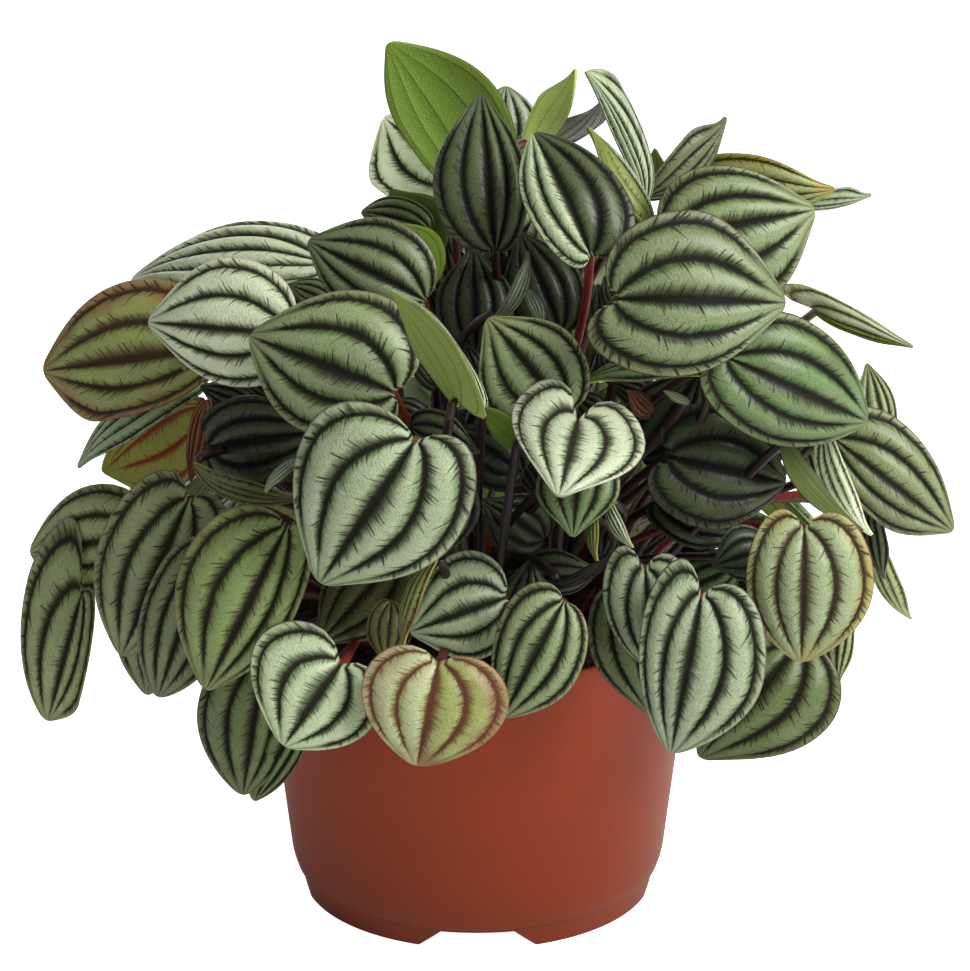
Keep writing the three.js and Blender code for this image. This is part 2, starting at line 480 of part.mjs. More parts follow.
// One closed body of a blade and its petiole. Both faces of the blade have the same triangles. The petiole is
// a three-sided rod that opens into the under face at the seat, its corners left, front and right of it.
function leafBody(leaf, start) {
  const small = leaf.length < SMALL_LENGTH;
  const us = small ? COARSE_U : BLADE_U;
  const vs = small || leaf.coarse ? COARSE_V : BLADE_V;
  const tip = us.length - 1;
  const edge = vs.length - 1;
  const points = [];
  const triangles = [];
  const put = (point) => points.push(point.toArray()) - 1;

  const line = petioleLine(leaf, start);
  let side = leaf.across;
  const rings = [];
  for (let i = PETIOLE.parts; i >= 0; i--) {
    const t = i / PETIOLE.parts;
    const along = line.getTangent(t);
    side = side.clone().addScaledVector(along, -side.dot(along)).normalize();
    const fore = new THREE.Vector3().crossVectors(along, side);
    const radius = PETIOLE.root + (PETIOLE.neck - PETIOLE.root) * t;
    side.multiplyScalar(radius);
    fore.multiplyScalar(radius);
    const corner = (x, y) => put(line.getPoint(t).addScaledVector(side, x).addScaledVector(fore, y));
    rings.unshift([corner(-0.87, -0.5), corner(0, 1), corner(0.87, -0.5)]);
  }
  rings.slice(0, -1).forEach((ring, i) => {
    for (let k = 0; k < 3; k++) {
      const [a, b, c, d] = [ring[k], ring[(k + 1) % 3], rings[i + 1][k], rings[i + 1][(k + 1) % 3]];
      triangles.push([a, d, b], [a, c, d]);
    }
  });
  triangles.push(rings[0]);
  const [left, front, right] = rings[PETIOLE.parts];

  const seat = put(bladePoint(leaf, 0, 0));
  const lifted = (u, v, lift) => put(bladePoint(leaf, u, v).addScaledVector(leaf.normal, lift));
  const face = (lift) => {
    const end = lifted(1, 0, lift);
    return [...us.slice(1, -1).map((u) => vs.map((v) => lifted(u, v, lift))), vs.map(() => end)];
  };
  const top = face(0);
  const under = face(-BLADE_THICK);
  const add = (...t) => new Set(t).size === 3 && triangles.push(t);
  const foot = (j) => (j < edge / 2 - 1 ? left : j < edge / 2 + 1 ? front : right);
  for (let j = 0; j < edge; j++) {
    add(seat, top[0][j + 1], top[0][j]);
    add(foot(j), under[0][j], under[0][j + 1]);
    if (j > 0) add(foot(j - 1), under[0][j], foot(j));
    for (let i = 0; i < tip - 1; i++) {
      add(top[i][j], top[i][j + 1], top[i + 1][j + 1]);
      add(top[i][j], top[i + 1][j + 1], top[i + 1][j]);
      add(under[i][j], under[i + 1][j + 1], under[i][j + 1]);
      add(under[i][j], under[i + 1][j], under[i + 1][j + 1]);
    }
  }
  add(seat, top[0][0], under[0][0]);
  add(seat, under[0][0], left);
  add(seat, under[0][edge], top[0][edge]);
  add(seat, right, under[0][edge]);
  add(left, right, seat);
  for (let i = 0; i < tip - 1; i++) {
    add(top[i][0], top[i + 1][0], under[i + 1][0]);
    add(top[i][0], under[i + 1][0], under[i][0]);
    add(top[i][edge], under[i + 1][edge], top[i + 1][edge]);
    add(top[i][edge], under[i][edge], under[i + 1][edge]);
  }
  return solidOf(points, triangles);
}

// Where a petiole leaves its stub: spots spread over the stub, each taken by the leaf that lies that way
function roots(own, [x, y]) {
  const spots = own.map((leaf, i) => {
    const radius = STUB.spread * Math.sqrt((i + 0.5) / own.length);
    const angle = i * GOLDEN_ANGLE;
    return new THREE.Vector3(x + radius * Math.cos(angle), y + radius * Math.sin(angle), STUB.top - 1.5);
  });
  const heading = ({ x: px, y: py }) => Math.atan2(py - y, px - x);
  const order = own.map((leaf, i) => i).sort((a, b) => heading(own[a].seat) - heading(own[b].seat));
  spots.sort((a, b) => heading(a) - heading(b));
  return own.map((leaf, i) => spots[order.indexOf(i)]);
}

// Name of the stem a leaf grows from: the crown stems for steep leaves, else the sector it stands in
function stemOf(leaf) {
  if (leaf.stem) return leaf.stem;
  const { x, y, z } = leaf.seat;
  const elevation = THREE.MathUtils.radToDeg(Math.atan2(z - 80, Math.hypot(x, y)));
  if (elevation > CROWN_ELEVATION) return x < CROWN_SPLIT ? "crown_left" : "crown_right";
  const azimuth = THREE.MathUtils.euclideanModulo(Math.atan2(y, x), 2 * Math.PI);
  return RING_NAMES[Math.floor((azimuth * RING_COUNT) / (2 * Math.PI))];
}

RING_NAMES.forEach((name, i) => {
  const angle = ((i + 0.5) * 2 * Math.PI) / RING_COUNT;
  CROWNS[name] = [RING_RADIUS * Math.cos(angle), RING_RADIUS * Math.sin(angle)];
});

const plant = new THREE.Group();
const foliage = new THREE.Group();
plant.add(meshOf("pot", pot(), MATERIALS.pot), meshOf("soil", soil(), MATERIALS.soil), foliage);
const leaves = [...frontLeaves(), ...backLeaves(), ...sideLeaves()];
for (const [name, place] of Object.entries(CROWNS)) {
  const stub = upright(STUB.radius, STUB.bottom, STUB.top, STUB.sides, STUB.neck);
  const own = leaves.filter((leaf) => stemOf(leaf) === name);
  const starts = roots(own, place);
  const bodies = own.map((leaf, i) => leafBody(leaf, starts[i]));
  const whole = tidy(Manifold.union([stub.translate(...place, 0), ...bodies]));
  foliage.add(meshOf("leafy_stem_" + name, whole, MATERIALS.foliage));
}

export default plant;
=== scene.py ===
"""Potted peperomia: furrowed, silver-banded leaves on red stalks in a thin terracotta-coloured nursery pot.

Lengths in the tables are millimetres, and meshes are metres. +Z is up, the origin is on the floor under the
pot axis, and the front of the plant faces -Y.
"""
import math

import bmesh
import bpy
import numpy as np
from bpy.props import FloatProperty, FloatVectorProperty, IntProperty, PointerProperty
from bpy.types import Operator, Panel, PropertyGroup
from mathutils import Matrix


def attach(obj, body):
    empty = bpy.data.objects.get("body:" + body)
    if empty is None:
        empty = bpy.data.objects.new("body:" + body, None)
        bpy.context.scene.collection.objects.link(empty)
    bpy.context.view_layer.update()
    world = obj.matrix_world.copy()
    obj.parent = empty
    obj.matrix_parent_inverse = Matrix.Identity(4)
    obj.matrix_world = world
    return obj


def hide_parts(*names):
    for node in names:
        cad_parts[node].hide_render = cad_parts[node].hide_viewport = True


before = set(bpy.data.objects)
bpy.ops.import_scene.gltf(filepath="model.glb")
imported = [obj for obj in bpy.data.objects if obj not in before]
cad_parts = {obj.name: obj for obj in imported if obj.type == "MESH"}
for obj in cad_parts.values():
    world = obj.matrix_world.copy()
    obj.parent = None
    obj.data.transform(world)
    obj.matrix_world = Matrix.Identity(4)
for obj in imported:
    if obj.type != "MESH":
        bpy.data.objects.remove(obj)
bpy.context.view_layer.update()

bl_info = {
    "name": "Potted peperomia",
    "version": (1, 0, 0),
    "blender": (4, 5, 0),
    "location": "3D View > Sidebar > Peperomia",
    "description": "Builds a potted peperomia with its furrowed leaves, stalks, soil and pot",
    "category": "Add Mesh",
}

MM = 0.001

# Camera: it looks down at the plant from the front. A picture unit is one pixel of the 970 x 971 frame, and
# the scale is how many of them a millimetre takes up at the distance of the aim.
FRAME_SIZE = (970, 971)
VIEW_PITCH = math.radians(19)
VIEW_DISTANCE = 1050.0
VIEW_SCALE = 3.73
VIEW_AIM = np.array([2.0, 0.0, 114.0])
VIEW_FORWARD = np.array([0.0, math.cos(VIEW_PITCH), -math.sin(VIEW_PITCH)])
VIEW_UP = np.array([0.0, math.sin(VIEW_PITCH), math.cos(VIEW_PITCH)])
VIEW_EYE = VIEW_AIM - VIEW_DISTANCE * VIEW_FORWARD

# Pot: closed profile as (radius, height, corner radius), the notches in its base ring and its drain holes
POT_PROFILE = [
    (46.2, 0.0, 0.3), (48.0, 0.0, 0.5), (48.9, 5.9, 0.4), (49.8, 6.5, 0.5), (51.1, 10.5, 2.5),
    (58.9, 77.4, 0.8), (60.4, 78.6, 0.6), (60.4, 82.0, 0.7), (58.7, 82.0, 0.6), (57.1, 76.4, 0.8),
    (49.5, 11.0, 2.0), (48.4, 5.6, 0.8), (0.0, 5.6, 0.0), (0.0, 4.0, 0.0), (46.2, 4.0, 0.4),
]
NOTCH = {"count": 4, "base": 34.0, "top": 19.5, "bottom": -1.0, "height": 5.2, "inner": 42.0, "outer": 53.0}
DRAIN = {"count": 4, "radius": 3.6, "at": 30.0, "bottom": 1.0, "top": 7.0, "sides": 32}
CORNER_STEPS = 5
SHARP_EDGE = math.radians(40)

# Soil: its body, its lumps in two sizes as (height, seed, width), and its loose crumbs
SOIL_LEVEL = 73.0
SOIL_BOTTOM = 5.95
SOIL_RADIUS = 55.9
SOIL_FOOT_RADIUS = 48.0
SOIL_SECTORS = 180
SOIL_RINGS = 62
SOIL_EDGE = 0.6
SOIL_WALL_DROP = 2.0
LUMPS = ((2.6, 3, 9.0), (1.3, 5, 3.2))
CRUMB = {"reach": 53.0, "least": 0.5, "more": 1.4, "rings": 4, "sides": 7}

# Leafy stems: ring stems stand in equal sectors from +X counter-clockwise, crown stems in the middle. These
# carry the leaves that stand steeper than an elevation over the crown's centre, split at an X.
RING_NAMES = (
    "right_back", "back_right", "back", "back_left", "left_back",
    "left_front", "front_left", "front", "front_right", "right_front",
)
RING_RADIUS = 34.0
CROWNS = {"crown_left": (-13.0, 2.0), "crown_right": (15.0, 2.0)}
CROWN_ELEVATION = 60.0
CROWN_CENTRE = 80.0
CROWN_SPLIT = 4.0

# Stub of a stem: its rings as (height, radius), and how far petioles spread on it and how deep they start
STUB_RINGS = ((64.0, 5.7), (68.0, 6.0), (72.0, 6.0), (74.5, 5.6), (75.6, 4.4), (76.0, 2.0))
STUB_SIDES = 20
STUB_TONE = 0.45
STUB_TOP = 76.0
STUB_SPREAD = 4.4
ROOT_DEPTH = 1.5
INNER_ROOT_DEPTH = 1.0
GOLDEN_ANGLE = 2.39996

# Petiole: radii at root and neck, how much it swells and over which shares of its length, what sets its
# curve, how it meets the blade, and its grid
PETIOLE = {
    "root": 1.0, "neck": 1.25, "least": 0.6, "swell": 0.35, "root_share": 0.06, "neck_share": 0.03,
    "rise": 0.55, "lean": 0.12, "bend": 0.38, "hook": 0.55, "clear": 0.6, "drop": 1.6, "ahead": 0.8,
    "rows": 25, "sides": 10,
}
TUBE_SIDE = (0.3, 0.9, 0.1)

# Blade form, in shares of its length or half width. Veins lie at whole values of s = slope a + curve a
# squared, where a runs from 0 at the midrib to 1 at the rim.
MARGIN_SPLIT = 0.45
MARGIN_HANDLE = 0.42
ARCH = 0.1
CUP = 0.2
DIMPLE = 0.05
DIMPLE_WIDTH = 0.16
WAVE = 0.012
WAVE_RATE = 9.0
TIP_ROUND = 0.6
TIP_REACH = 0.05
VEIN_SLOPE = 2.05
VEIN_CURVE = 0.33
VEIN_LAST = 2
RIM_AT = VEIN_SLOPE + VEIN_CURVE
RIM_STEPS = (0.3, 0.6, 0.86, 1.0)
UNDERSIDE_RIBS = 0.18

# Grid of a blade: rows from seat to tip and steps between two veins, fewer on small leaves and on those of
# the back and the flanks, whose names start with B or S
BLADE_GRIDS = {"small": (19, 7), "far": (24, 8), "near": (29, 10)}
SMALL_LENGTH = 33.0
FAR_INITIALS = ("B", "S")
LAST_EVEN_ROW = 0.965
TIP_ROWS = (0.984, 0.994, 1.0)

# Feathers of the bands in three sizes: how many along a vein, reach, width and shift of the draw
FEATHERS = ((30.0, 0.34, 0.4, 0.0), (15.0, 0.7, 0.2, 5.0), (9.0, 1.3, 0.08, 9.0))

# Leaf colours: how strongly a leaf's brightness, its own tone with painted light and shade, tells, and how
# much of the rim colour covers the rim
PAINTED_LIGHT_POWER = 1.6
RIM_COVER = 0.85

# Studio: place and side of each square lamp, the point they face, half the side of the floor, the sensor
LIGHTS = {
    "key": ((560, -380, 600), 560),
    "fill": ((-560, -380, 260), 500),
    "back": ((-260, 640, 420), 600),
}
LIGHT_AIM = np.array([0.0, 0.0, 110.0])
FLOOR_REACH = 9000.0
SENSOR_WIDTH = 36.0


def srgb(red, green, blue):
    """Linear colour of a display colour in steps of 255."""
    return tuple(
        c / 12.92 if c <= 0.04045 else ((c + 0.055) / 1.055) ** 2.4
        for c in (red / 255, green / 255, blue / 255)
    )


# Leaf looks: colours of the crest between two veins, of the green beside the veins, of the dark bands, the
# rim, the underside and the flush that creeps in from the rim; then the band's half width, the flush, the
# spots and how much of the bands shows on the underside
LOOKS = {
    "mint": ((198, 208, 174), (150, 170, 128), (36, 36, 24), (140, 124, 110), (150, 165, 120),
             (166, 150, 132), 0.13, 0.2, 0.0, 0.0),
    "silver": ((169, 182, 145), (118, 142, 98), (25, 26, 14), (112, 102, 88), (140, 160, 95), (122, 126, 88),
               0.15, 0.2, 0.0, 0.0),
    "jade": ((143, 158, 112), (94, 122, 66), (24, 25, 12), (98, 84, 68), (128, 155, 72), (128, 112, 78),
             0.165, 0.4, 0.0, 0.0),
    "sage": ((115, 124, 86), (88, 104, 62), (28, 27, 17), (88, 74, 60), (120, 140, 80), (94, 80, 54),
             0.15, 0.35, 0.1, 0.0),
    "moss": ((112, 128, 76), (86, 110, 50), (27, 26, 13), (86, 58, 42), (120, 145, 70), (88, 70, 38),
             0.155, 0.4, 0.4, 0.0),
    "fern": ((104, 124, 78), (72, 104, 50), (22, 23, 12), (72, 58, 44), (115, 145, 60), (86, 76, 42),
             0.175, 0.3, 0.1, 0.0),
    "dark": ((68, 77, 48), (48, 60, 32), (14, 16, 8), (58, 50, 40), (90, 120, 50), (46, 50, 30),
             0.22, 0.2, 0.0, 0.0),
    "olive": ((122, 128, 74), (100, 110, 54), (54, 42, 28), (98, 72, 46), (134, 146, 62), (120, 96, 54),
              0.13, 0.45, 0.2, 0.0),
    "russet": ((114, 122, 70), (90, 106, 48), (46, 31, 20), (92, 48, 34), (128, 136, 64), (106, 64, 44),
               0.15, 0.8, 0.2, 0.0),
    "flame": ((130, 140, 60), (110, 126, 44), (112, 30, 24), (116, 44, 28), (128, 132, 60), (120, 60, 34),
              0.17, 0.6, 0.2, 0.9),
    "amber": ((122, 128, 80), (112, 116, 52), (50, 44, 24), (96, 68, 38), (124, 136, 60), (142, 122, 44),
              0.1, 0.9, 0.9, 0.0),
    "plain": ((122, 134, 56), (116, 130, 52), (50, 54, 24), (110, 94, 60), (118, 134, 54), (118, 128, 52),
              0.03, 0.2, 0.0, 0.0),
    "blush": ((178, 182, 140), (150, 162, 104), (88, 54, 40), (140, 96, 74), (180, 170, 110), (150, 112, 82),
              0.1, 0.45, 0.1, 0.0),
    "bronze": ((144, 150, 88), (120, 128, 64), (84, 48, 34), (126, 78, 56), (180, 170, 110), (124, 86, 54),
               0.12, 0.75, 0.1, 0.0),
    "sunny": ((166, 182, 136), (142, 160, 104), (58, 48, 34), (146, 92, 62), (160, 165, 80), (176, 160, 84),
              0.13, 0.7, 0.4, 0.0),
    "lime": ((124, 148, 72), (98, 126, 50), (52, 54, 30), (84, 70, 38), (110, 137, 52), (120, 126, 52),
             0.13, 0.2, 0.0, 0.0),
    "pale": ((188, 194, 156), (160, 170, 122), (92, 78, 54), (122, 108, 80), (130, 146, 74), (160, 148, 100),
             0.07, 0.2, 0.0, 0.0),
    "dry": ((112, 66, 36), (84, 50, 28), (48, 30, 18), (120, 88, 54), (104, 66, 38), (92, 52, 28),
            0.1, 0.6, 0.6, 0.0),
}

COLOUR_NAMES = ("panel", "halo", "band", "rim", "under", "flush")

# Petiole skin: the share of petioles that are red, the green of the others, and how much of that green the
# red and the green ones hold
RED_SHARE = 0.86
PETIOLE_GREEN = srgb(108, 110, 58)
GREEN_IN_RED = 0.18
GREEN_IN_GREEN = 0.85

# Leaves of the front, as seen in the picture: name, seat, tip, how many millimetres seat and tip stand
# nearer than the pot axis, right and left half (width, where widest, lobe), turn, look, brightness, extras.
# The brightness scales every colour of a leaf: its own tone together with painted light and shade.
# Right and left are as seen along the leaf from seat to tip; a turn past 90 shows the underside. Extras are
# blunt (round tip), arch, bend (sideways, in picture units), hook and stalk (curve of the petiole, and its
# brightness, which is painted light and shade), right_look (look of the right half) and stem (where the rule
# would give another one).
FRONT_LEAVES = (
    # top
    ("T01", (482, 190), (388, 43), (-14, -22), (66, .42, .06), (39, .55, .06), 172, "lime", 1.0,
     {"blunt": .5, "stem": "crown_right"}),
    ("T02", (462, 182), (384, 117), (-28, -34), (42, .45, .05), (60, .64, .08), 0, "mint", 1.9,
     {"blunt": .5, "stalk": .3}),
    ("T03", (430, 262), (392, 190), (-6, -18), (36, .5, .05), (38, .5, .05), 160, "lime", 0.68, {}),
    ("T04", (424, 290), (385, 222), (10, 2), (40, .42, .05), (20, .5, .05), 158, "lime", 1.9, {}),
    ("T05", (495, 249), (481, 93), (28, 4), (37, .4, .02), (54, .41, .02), 0, "dark", 1.42,
     {"blunt": .1, "stalk": .3}),
    # T06 wears the dark look on its right half as painted shade
    ("T06", (590, 252), (533, 133), (46, 24), (56, .25, .09), (38, .45, .08), 6, "silver", 1.2,
     {"blunt": .6, "right_look": "dark", "stalk": 5}),
    ("T07", (650, 203), (586, 71), (8, 0), (23, .86, 0), (10, .5, .02), 42, "silver", 1.0,
     {"bend": 5, "arch": .04, "blunt": 1}),
    ("T08", (660, 228), (588, 126), (22, 14), (4, .5, .02), (12, .5, .02), 68, "plain", 0.95,
     {"bend": 3, "arch": .03, "right_look": "silver"}),
    ("T09", (532, 152), (577, 70), (-8, -18), (7, .5, .02), (20, .6, .02), 125, "pale", 1.5, {}),
    ("T10", (543, 152), (603, 103), (-26, -40), (15, .5, .02), (13, .6, .02), 112, "olive", 0.35, {}),
    ("T11", (500, 165), (506, 86), (-38, -44), (35, .55, .03), (30, .5, .03), 0, "silver", 0.85,
     {"blunt": .8}),
    ("T12", (645, 198), (656, 149), (-14, -20), (15, .5, .02), (14, .5, .02), 150, "lime", 0.9, {}),
    ("T13", (648, 200), (727, 118), (-4, -16), (13, .6, .02), (20, .55, .02), 55, "sage", 0.87, {}),
    ("T14", (698, 184), (835, 190), (-22, -14), (30, .45, .06), (35, .4, .06), 30, "amber", 1.22, {}),
    ("T15", (790, 206), (872, 196), (-32, -36), (7, .45, .04), (10, .6, .02), 65, "silver", 1.05,
     {"arch": .03, "stem": "back_right"}),
    ("T16", (668, 238), (815, 210), (32, 24), (74, .55, .1), (60, .3, .05), 0, "jade", 0.9, {"blunt": .4}),
    ("T17", (618, 299), (786, 303), (76, 66), (70, .3, .155), (83, .42, .08), 0, "jade", 0.8,
     {"blunt": .35}),
    ("T18", (814, 313), (913, 348), (6, 14), (8, .4, .02), (20, -.15, .3), 35, "pale", 0.93,
     {"arch": 0, "right_look": "plain", "stalk": 3}),
    ("T19", (733, 360), (867, 421), (70, 52), (58, .33, .12), (62, .28, .04), 0, "fern", 1.0,
     {"blunt": .5, "stalk": .4}),
    ("T20", (428, 228), (361, 212), (-6, -14), (24, .5, .06), (16, .5, .06), 15, "moss", 0.75,
     {"blunt": .6}),
    # left
    ("L01", (322, 256), (131, 279), (14, -8), (31, .42, .08), (33, .45, .05), 45, "mint", 1.05, {}),
    ("L02", (288, 334), (148, 322), (52, 34), (68, .42, .05), (54, .3, .06), 0, "mint", 1.1,
     {"blunt": .15}),
    ("L03", (206, 350), (43, 371), (18, 6), (77, .37, .08), (56, .68, .04), 0, "russet", 1.4,
     {"blunt": .5}),
    ("L04", (424, 300), (308, 241), (46, 38), (55, .42, .04), (42, .45, .06), 0, "jade", 0.68,
     {"blunt": .4}),
    ("L05", (393, 392), (250, 336), (70, 60), (80, .28, .09), (64, .45, .09), 0, "jade", 0.92,
     {"blunt": .5}),
    ("L06", (464, 400), (393, 291), (84, 76), (27, .3, .2), (14, .45, .04), 128, "pale", 1.12,
     {"arch": .03, "hook": .5, "stalk": .3}),
    ("L07", (200, 377), (77, 467), (8, 2), (20, .4, .04), (20, .5, .03), 50, "silver", 0.95, {}),
    ("L08", (203, 398), (102, 471), (-10, -14), (16, .6, .05), (56, .75, .08), 150, "flame", 1.2,
     {"blunt": 1}),
    ("L09", (206, 447), (330, 430), (36, 46), (50, .35, .05), (44, .35, .08), 0, "dark", 0.9,
     {"blunt": .4}),
    ("L10", (300, 458), (264, 491), (80, 84), (5, .5, .02), (5, .5, .02), 60, "silver", 0.8, {}),
    ("L11", (192, 470), (304, 497), (52, 56), (16, .5, .02), (10, .5, .02), 60, "olive", 0.78,
     {"stalk": .3}),
    ("L12", (413, 443), (320, 583), (92, 88), (88, .25, .07), (82, .32, .14), 0, "silver", 0.97,
     {"blunt": .3}),
    ("L13", (140, 534), (30, 553), (-10, -16), (58, .33, .08), (50, .48, .06), 0, "sage", 1.6,
     {"blunt": .5}),
    ("L14", (187, 503), (122, 656), (44, 40), (64, .34, .12), (56, .32, .09), 0, "sage", 1.25,
     {"blunt": .5}),
    ("L15", (206, 552), (158, 697), (56, 50), (42, .38, .06), (42, .5, .1), 0, "sage", 1.05, {"blunt": .8}),
    ("L16", (178, 560), (147, 695), (30, 30), (46, .5, .06), (34, .5, .06), 0, "sage", 1.15, {"blunt": .5}),
    ("L17", (285, 530), (206, 690), (76, 72), (74, .36, .06), (44, .42, .1), 0, "moss", 1.28, {"blunt": .4}),
    ("L18", (81, 597), (48, 721), (0, 2), (57, -.03, .4), (26, .8, .1), 0, "sage", 1.55,
     {"blunt": .8, "stem": "left_back"}),
    ("L19", (265, 655), (243, 795), (66, 60), (56, .4, .06), (36, .52, .06), 0, "moss", 0.92,
     {"blunt": .6}),
    ("L20", (318, 684), (254, 801), (70, 54), (40, .45, .05), (20, .5, .05), 0, "moss", 0.9, {"blunt": .3}),
    ("L21", (341, 664), (284, 746), (88, 94), (77, .27, .17), (57, .33, .13), 0, "silver", 1.22,
     {"blunt": .7, "stalk": 3}),
    ("L22", (438, 663), (417, 766), (98, 102), (65, .3, .11), (72, .3, .11), 0, "bronze", 1.04,
     {"blunt": .8, "right_look": "blush"}),
    ("L23", (425, 470), (430, 566), (72, 72), (30, .4, .06), (50, .42, .06), 0, "dark", 0.9, {}),
    # centre and low
    ("C01", (579, 414), (559, 495), (84, 112), (60, .02, .4), (66, .12, .3), 0, "mint", 0.93,
     {"arch": .03, "blunt": .4, "stalk": .2}),
    ("C02", (565, 410), (488, 318), (60, 50), (50, .42, .06), (60, .28, .06), 0, "jade", 1.1,
     {"blunt": .3}),
    ("C03", (498, 322), (529, 251), (44, 38), (9, .5, .02), (6, .5, .02), 55, "silver", 0.6, {"stalk": .3}),
    ("C04", (712, 366), (578, 384), (56, 54), (12, .5, .02), (12, .5, .02), 65, "fern", 1.6, {"stalk": .3}),
    ("C05", (672, 457), (786, 482), (56, 46), (60, .38, .14), (60, .35, .12), 0, "dark", 1.1,
     {"blunt": .5, "stalk": .3}),
    ("C06", (662, 502), (748, 534), (44, 40), (32, .38, .12), (40, .35, .08), 0, "dark", 1.0,
     {"blunt": .5, "stalk": .3}),
    ("C07", (580, 448), (573, 537), (74, 84), (38, .5, .1), (40, .42, .1), 0, "fern", 1.0,
     {"stem": "front", "stalk": .3}),
    ("C08", (592, 515), (596, 561), (78, 84), (5, .4, .02), (6, .35, .02), 50, "olive", 0.9, {"stalk": .3}),
    ("C09", (606, 502), (632, 548), (76, 84), (7, .45, .02), (7, .45, .02), 40, "silver", 1.1,
     {"stalk": .3}),
    ("C10", (506, 598), (410, 632), (76, 80), (56, .3, .08), (46, .42, .08), 0, "silver", 0.97,
     {"blunt": .3}),
    ("C11", (563, 603), (503, 717), (90, 92), (45, .22, .08), (44, .46, .03), 0, "jade", 0.9,
     {"blunt": .6}),
    ("C12", (620, 590), (651, 715), (72, 72), (41, .4, .05), (40, .42, .08), 0, "moss", 0.8, {"stalk": .3}),
    ("C13", (645, 570), (652, 670), (82, 84), (41, .22, .21), (42, .22, .13), 0, "silver", 0.8,
     {"blunt": .6, "stalk": 3}),
    ("C14", (701, 597), (671, 753), (94, 96), (49, .18, .17), (71, .44, .11), 0, "silver", 0.88,
     {"blunt": .7}),
    ("C15", (556, 588), (611, 553), (74, 80), (5, .5, .02), (6, .4, .02), 60, "olive", 0.1, {"stalk": .15}),
    ("C16", (530, 575), (600, 570), (56, 60), (20, .45, .06), (24, .4, .06), 30, "dark", 1.0, {}),
    ("C17", (398, 556), (318, 644), (60, 64), (40, .4, .06), (44, .4, .06), 0, "olive", 0.6, {}),
    ("C18", (431, 556), (402, 650), (82, 86), (6, .5, .02), (8, .5, .02), 60, "russet", 1.3,
     {"hook": 0, "stalk": .2}),
    ("C19", (410, 428), (480, 452), (56, 62), (20, .4, .06), (26, .4, .06), 20, "dark", 1.2, {}),
    ("C20", (526, 440), (476, 404), (66, 60), (6, .4, .03), (16, .4, .05), 140, "lime", 1.02,
     {"hook": 0, "stalk": .15}),
    ("C21", (392, 602), (386, 664), (74, 78), (22, .45, .06), (22, .45, .06), 0, "olive", 0.8,
     {"stem": "front_left"}),
    ("C22", (541, 322), (522, 286), (40, 36), (9, .5, .02), (6, .5, .02), 50, "silver", 0.6, {}),
    # right
    ("R01", (804, 530), (801, 662), (78, 80), (53, .36, .14), (66, .4, .13), 0, "sunny", 0.85,
     {"blunt": .8, "stalk": 2.5}),
    ("R02", (800, 642), (699, 757), (56, 62), (52, .35, .05), (74, .3, .06), 0, "moss", 0.82,
     {"blunt": .3}),
    ("R03", (846, 596), (838, 684), (34, 34), (26, .4, .05), (15, .5, .05), 20, "sage", 1.65, {}),
    ("R04", (776, 440), (862, 532), (56, 56), (9, .45, .03), (12, .45, .03), 125, "pale", 0.5,
     {"hook": 0, "stalk": .3}),
    ("R05", (820, 434), (871, 536), (46, 46), (16, .45, .03), (14, .4, .03), 55, "mint", 1.75,
     {"hook": 0, "stalk": .5}),
    ("R06", (838, 442), (953, 531), (34, 30), (38, .55, .06), (53, .24, .09), 0, "sage", 1.12,
     {"blunt": .3}),
    ("R07", (885, 440), (867, 363), (4, -4), (17, .45, .03), (24, .45, .03), 20, "sage", 1.3, {}),
    ("R08", (868, 500), (884, 579), (16, 14), (10, .5, .03), (14, .5, .03), 35, "dark", 1.35,
     {"stalk": 4}),
    ("R09", (872, 540), (911, 620), (6, 2), (10, .5, .02), (13, .5, .02), 55, "sage", 2.1, {}),
    ("R10", (766, 548), (712, 566), (62, 66), (30, .4, .06), (26, .4, .06), 0, "fern", 0.44, {"stalk": .3}),
    # deep inside, with the dark look as painted shade
    ("I01", (476, 352), (473, 247), (26, 12), (38, .45, .05), (38, .45, .05), 0, "dark", 0.9,
     {"stem": "crown_right"}),
    ("I02", (545, 540), (482, 500), (44, 50), (32, .4, .06), (34, .4, .06), 0, "dark", 0.8,
     {"stem": "front"}),
    ("I03", (560, 330), (520, 232), (16, 4), (40, .4, .06), (40, .4, .06), 0, "dark", 0.8, {}),
    ("I05", (640, 455), (700, 372), (34, 26), (40, .4, .06), (40, .4, .06), 0, "dark", 0.8, {}),
    ("I07", (520, 650), (530, 560), (66, 60), (34, .4, .06), (34, .4, .06), 0, "dark", 0.9, {}),
)
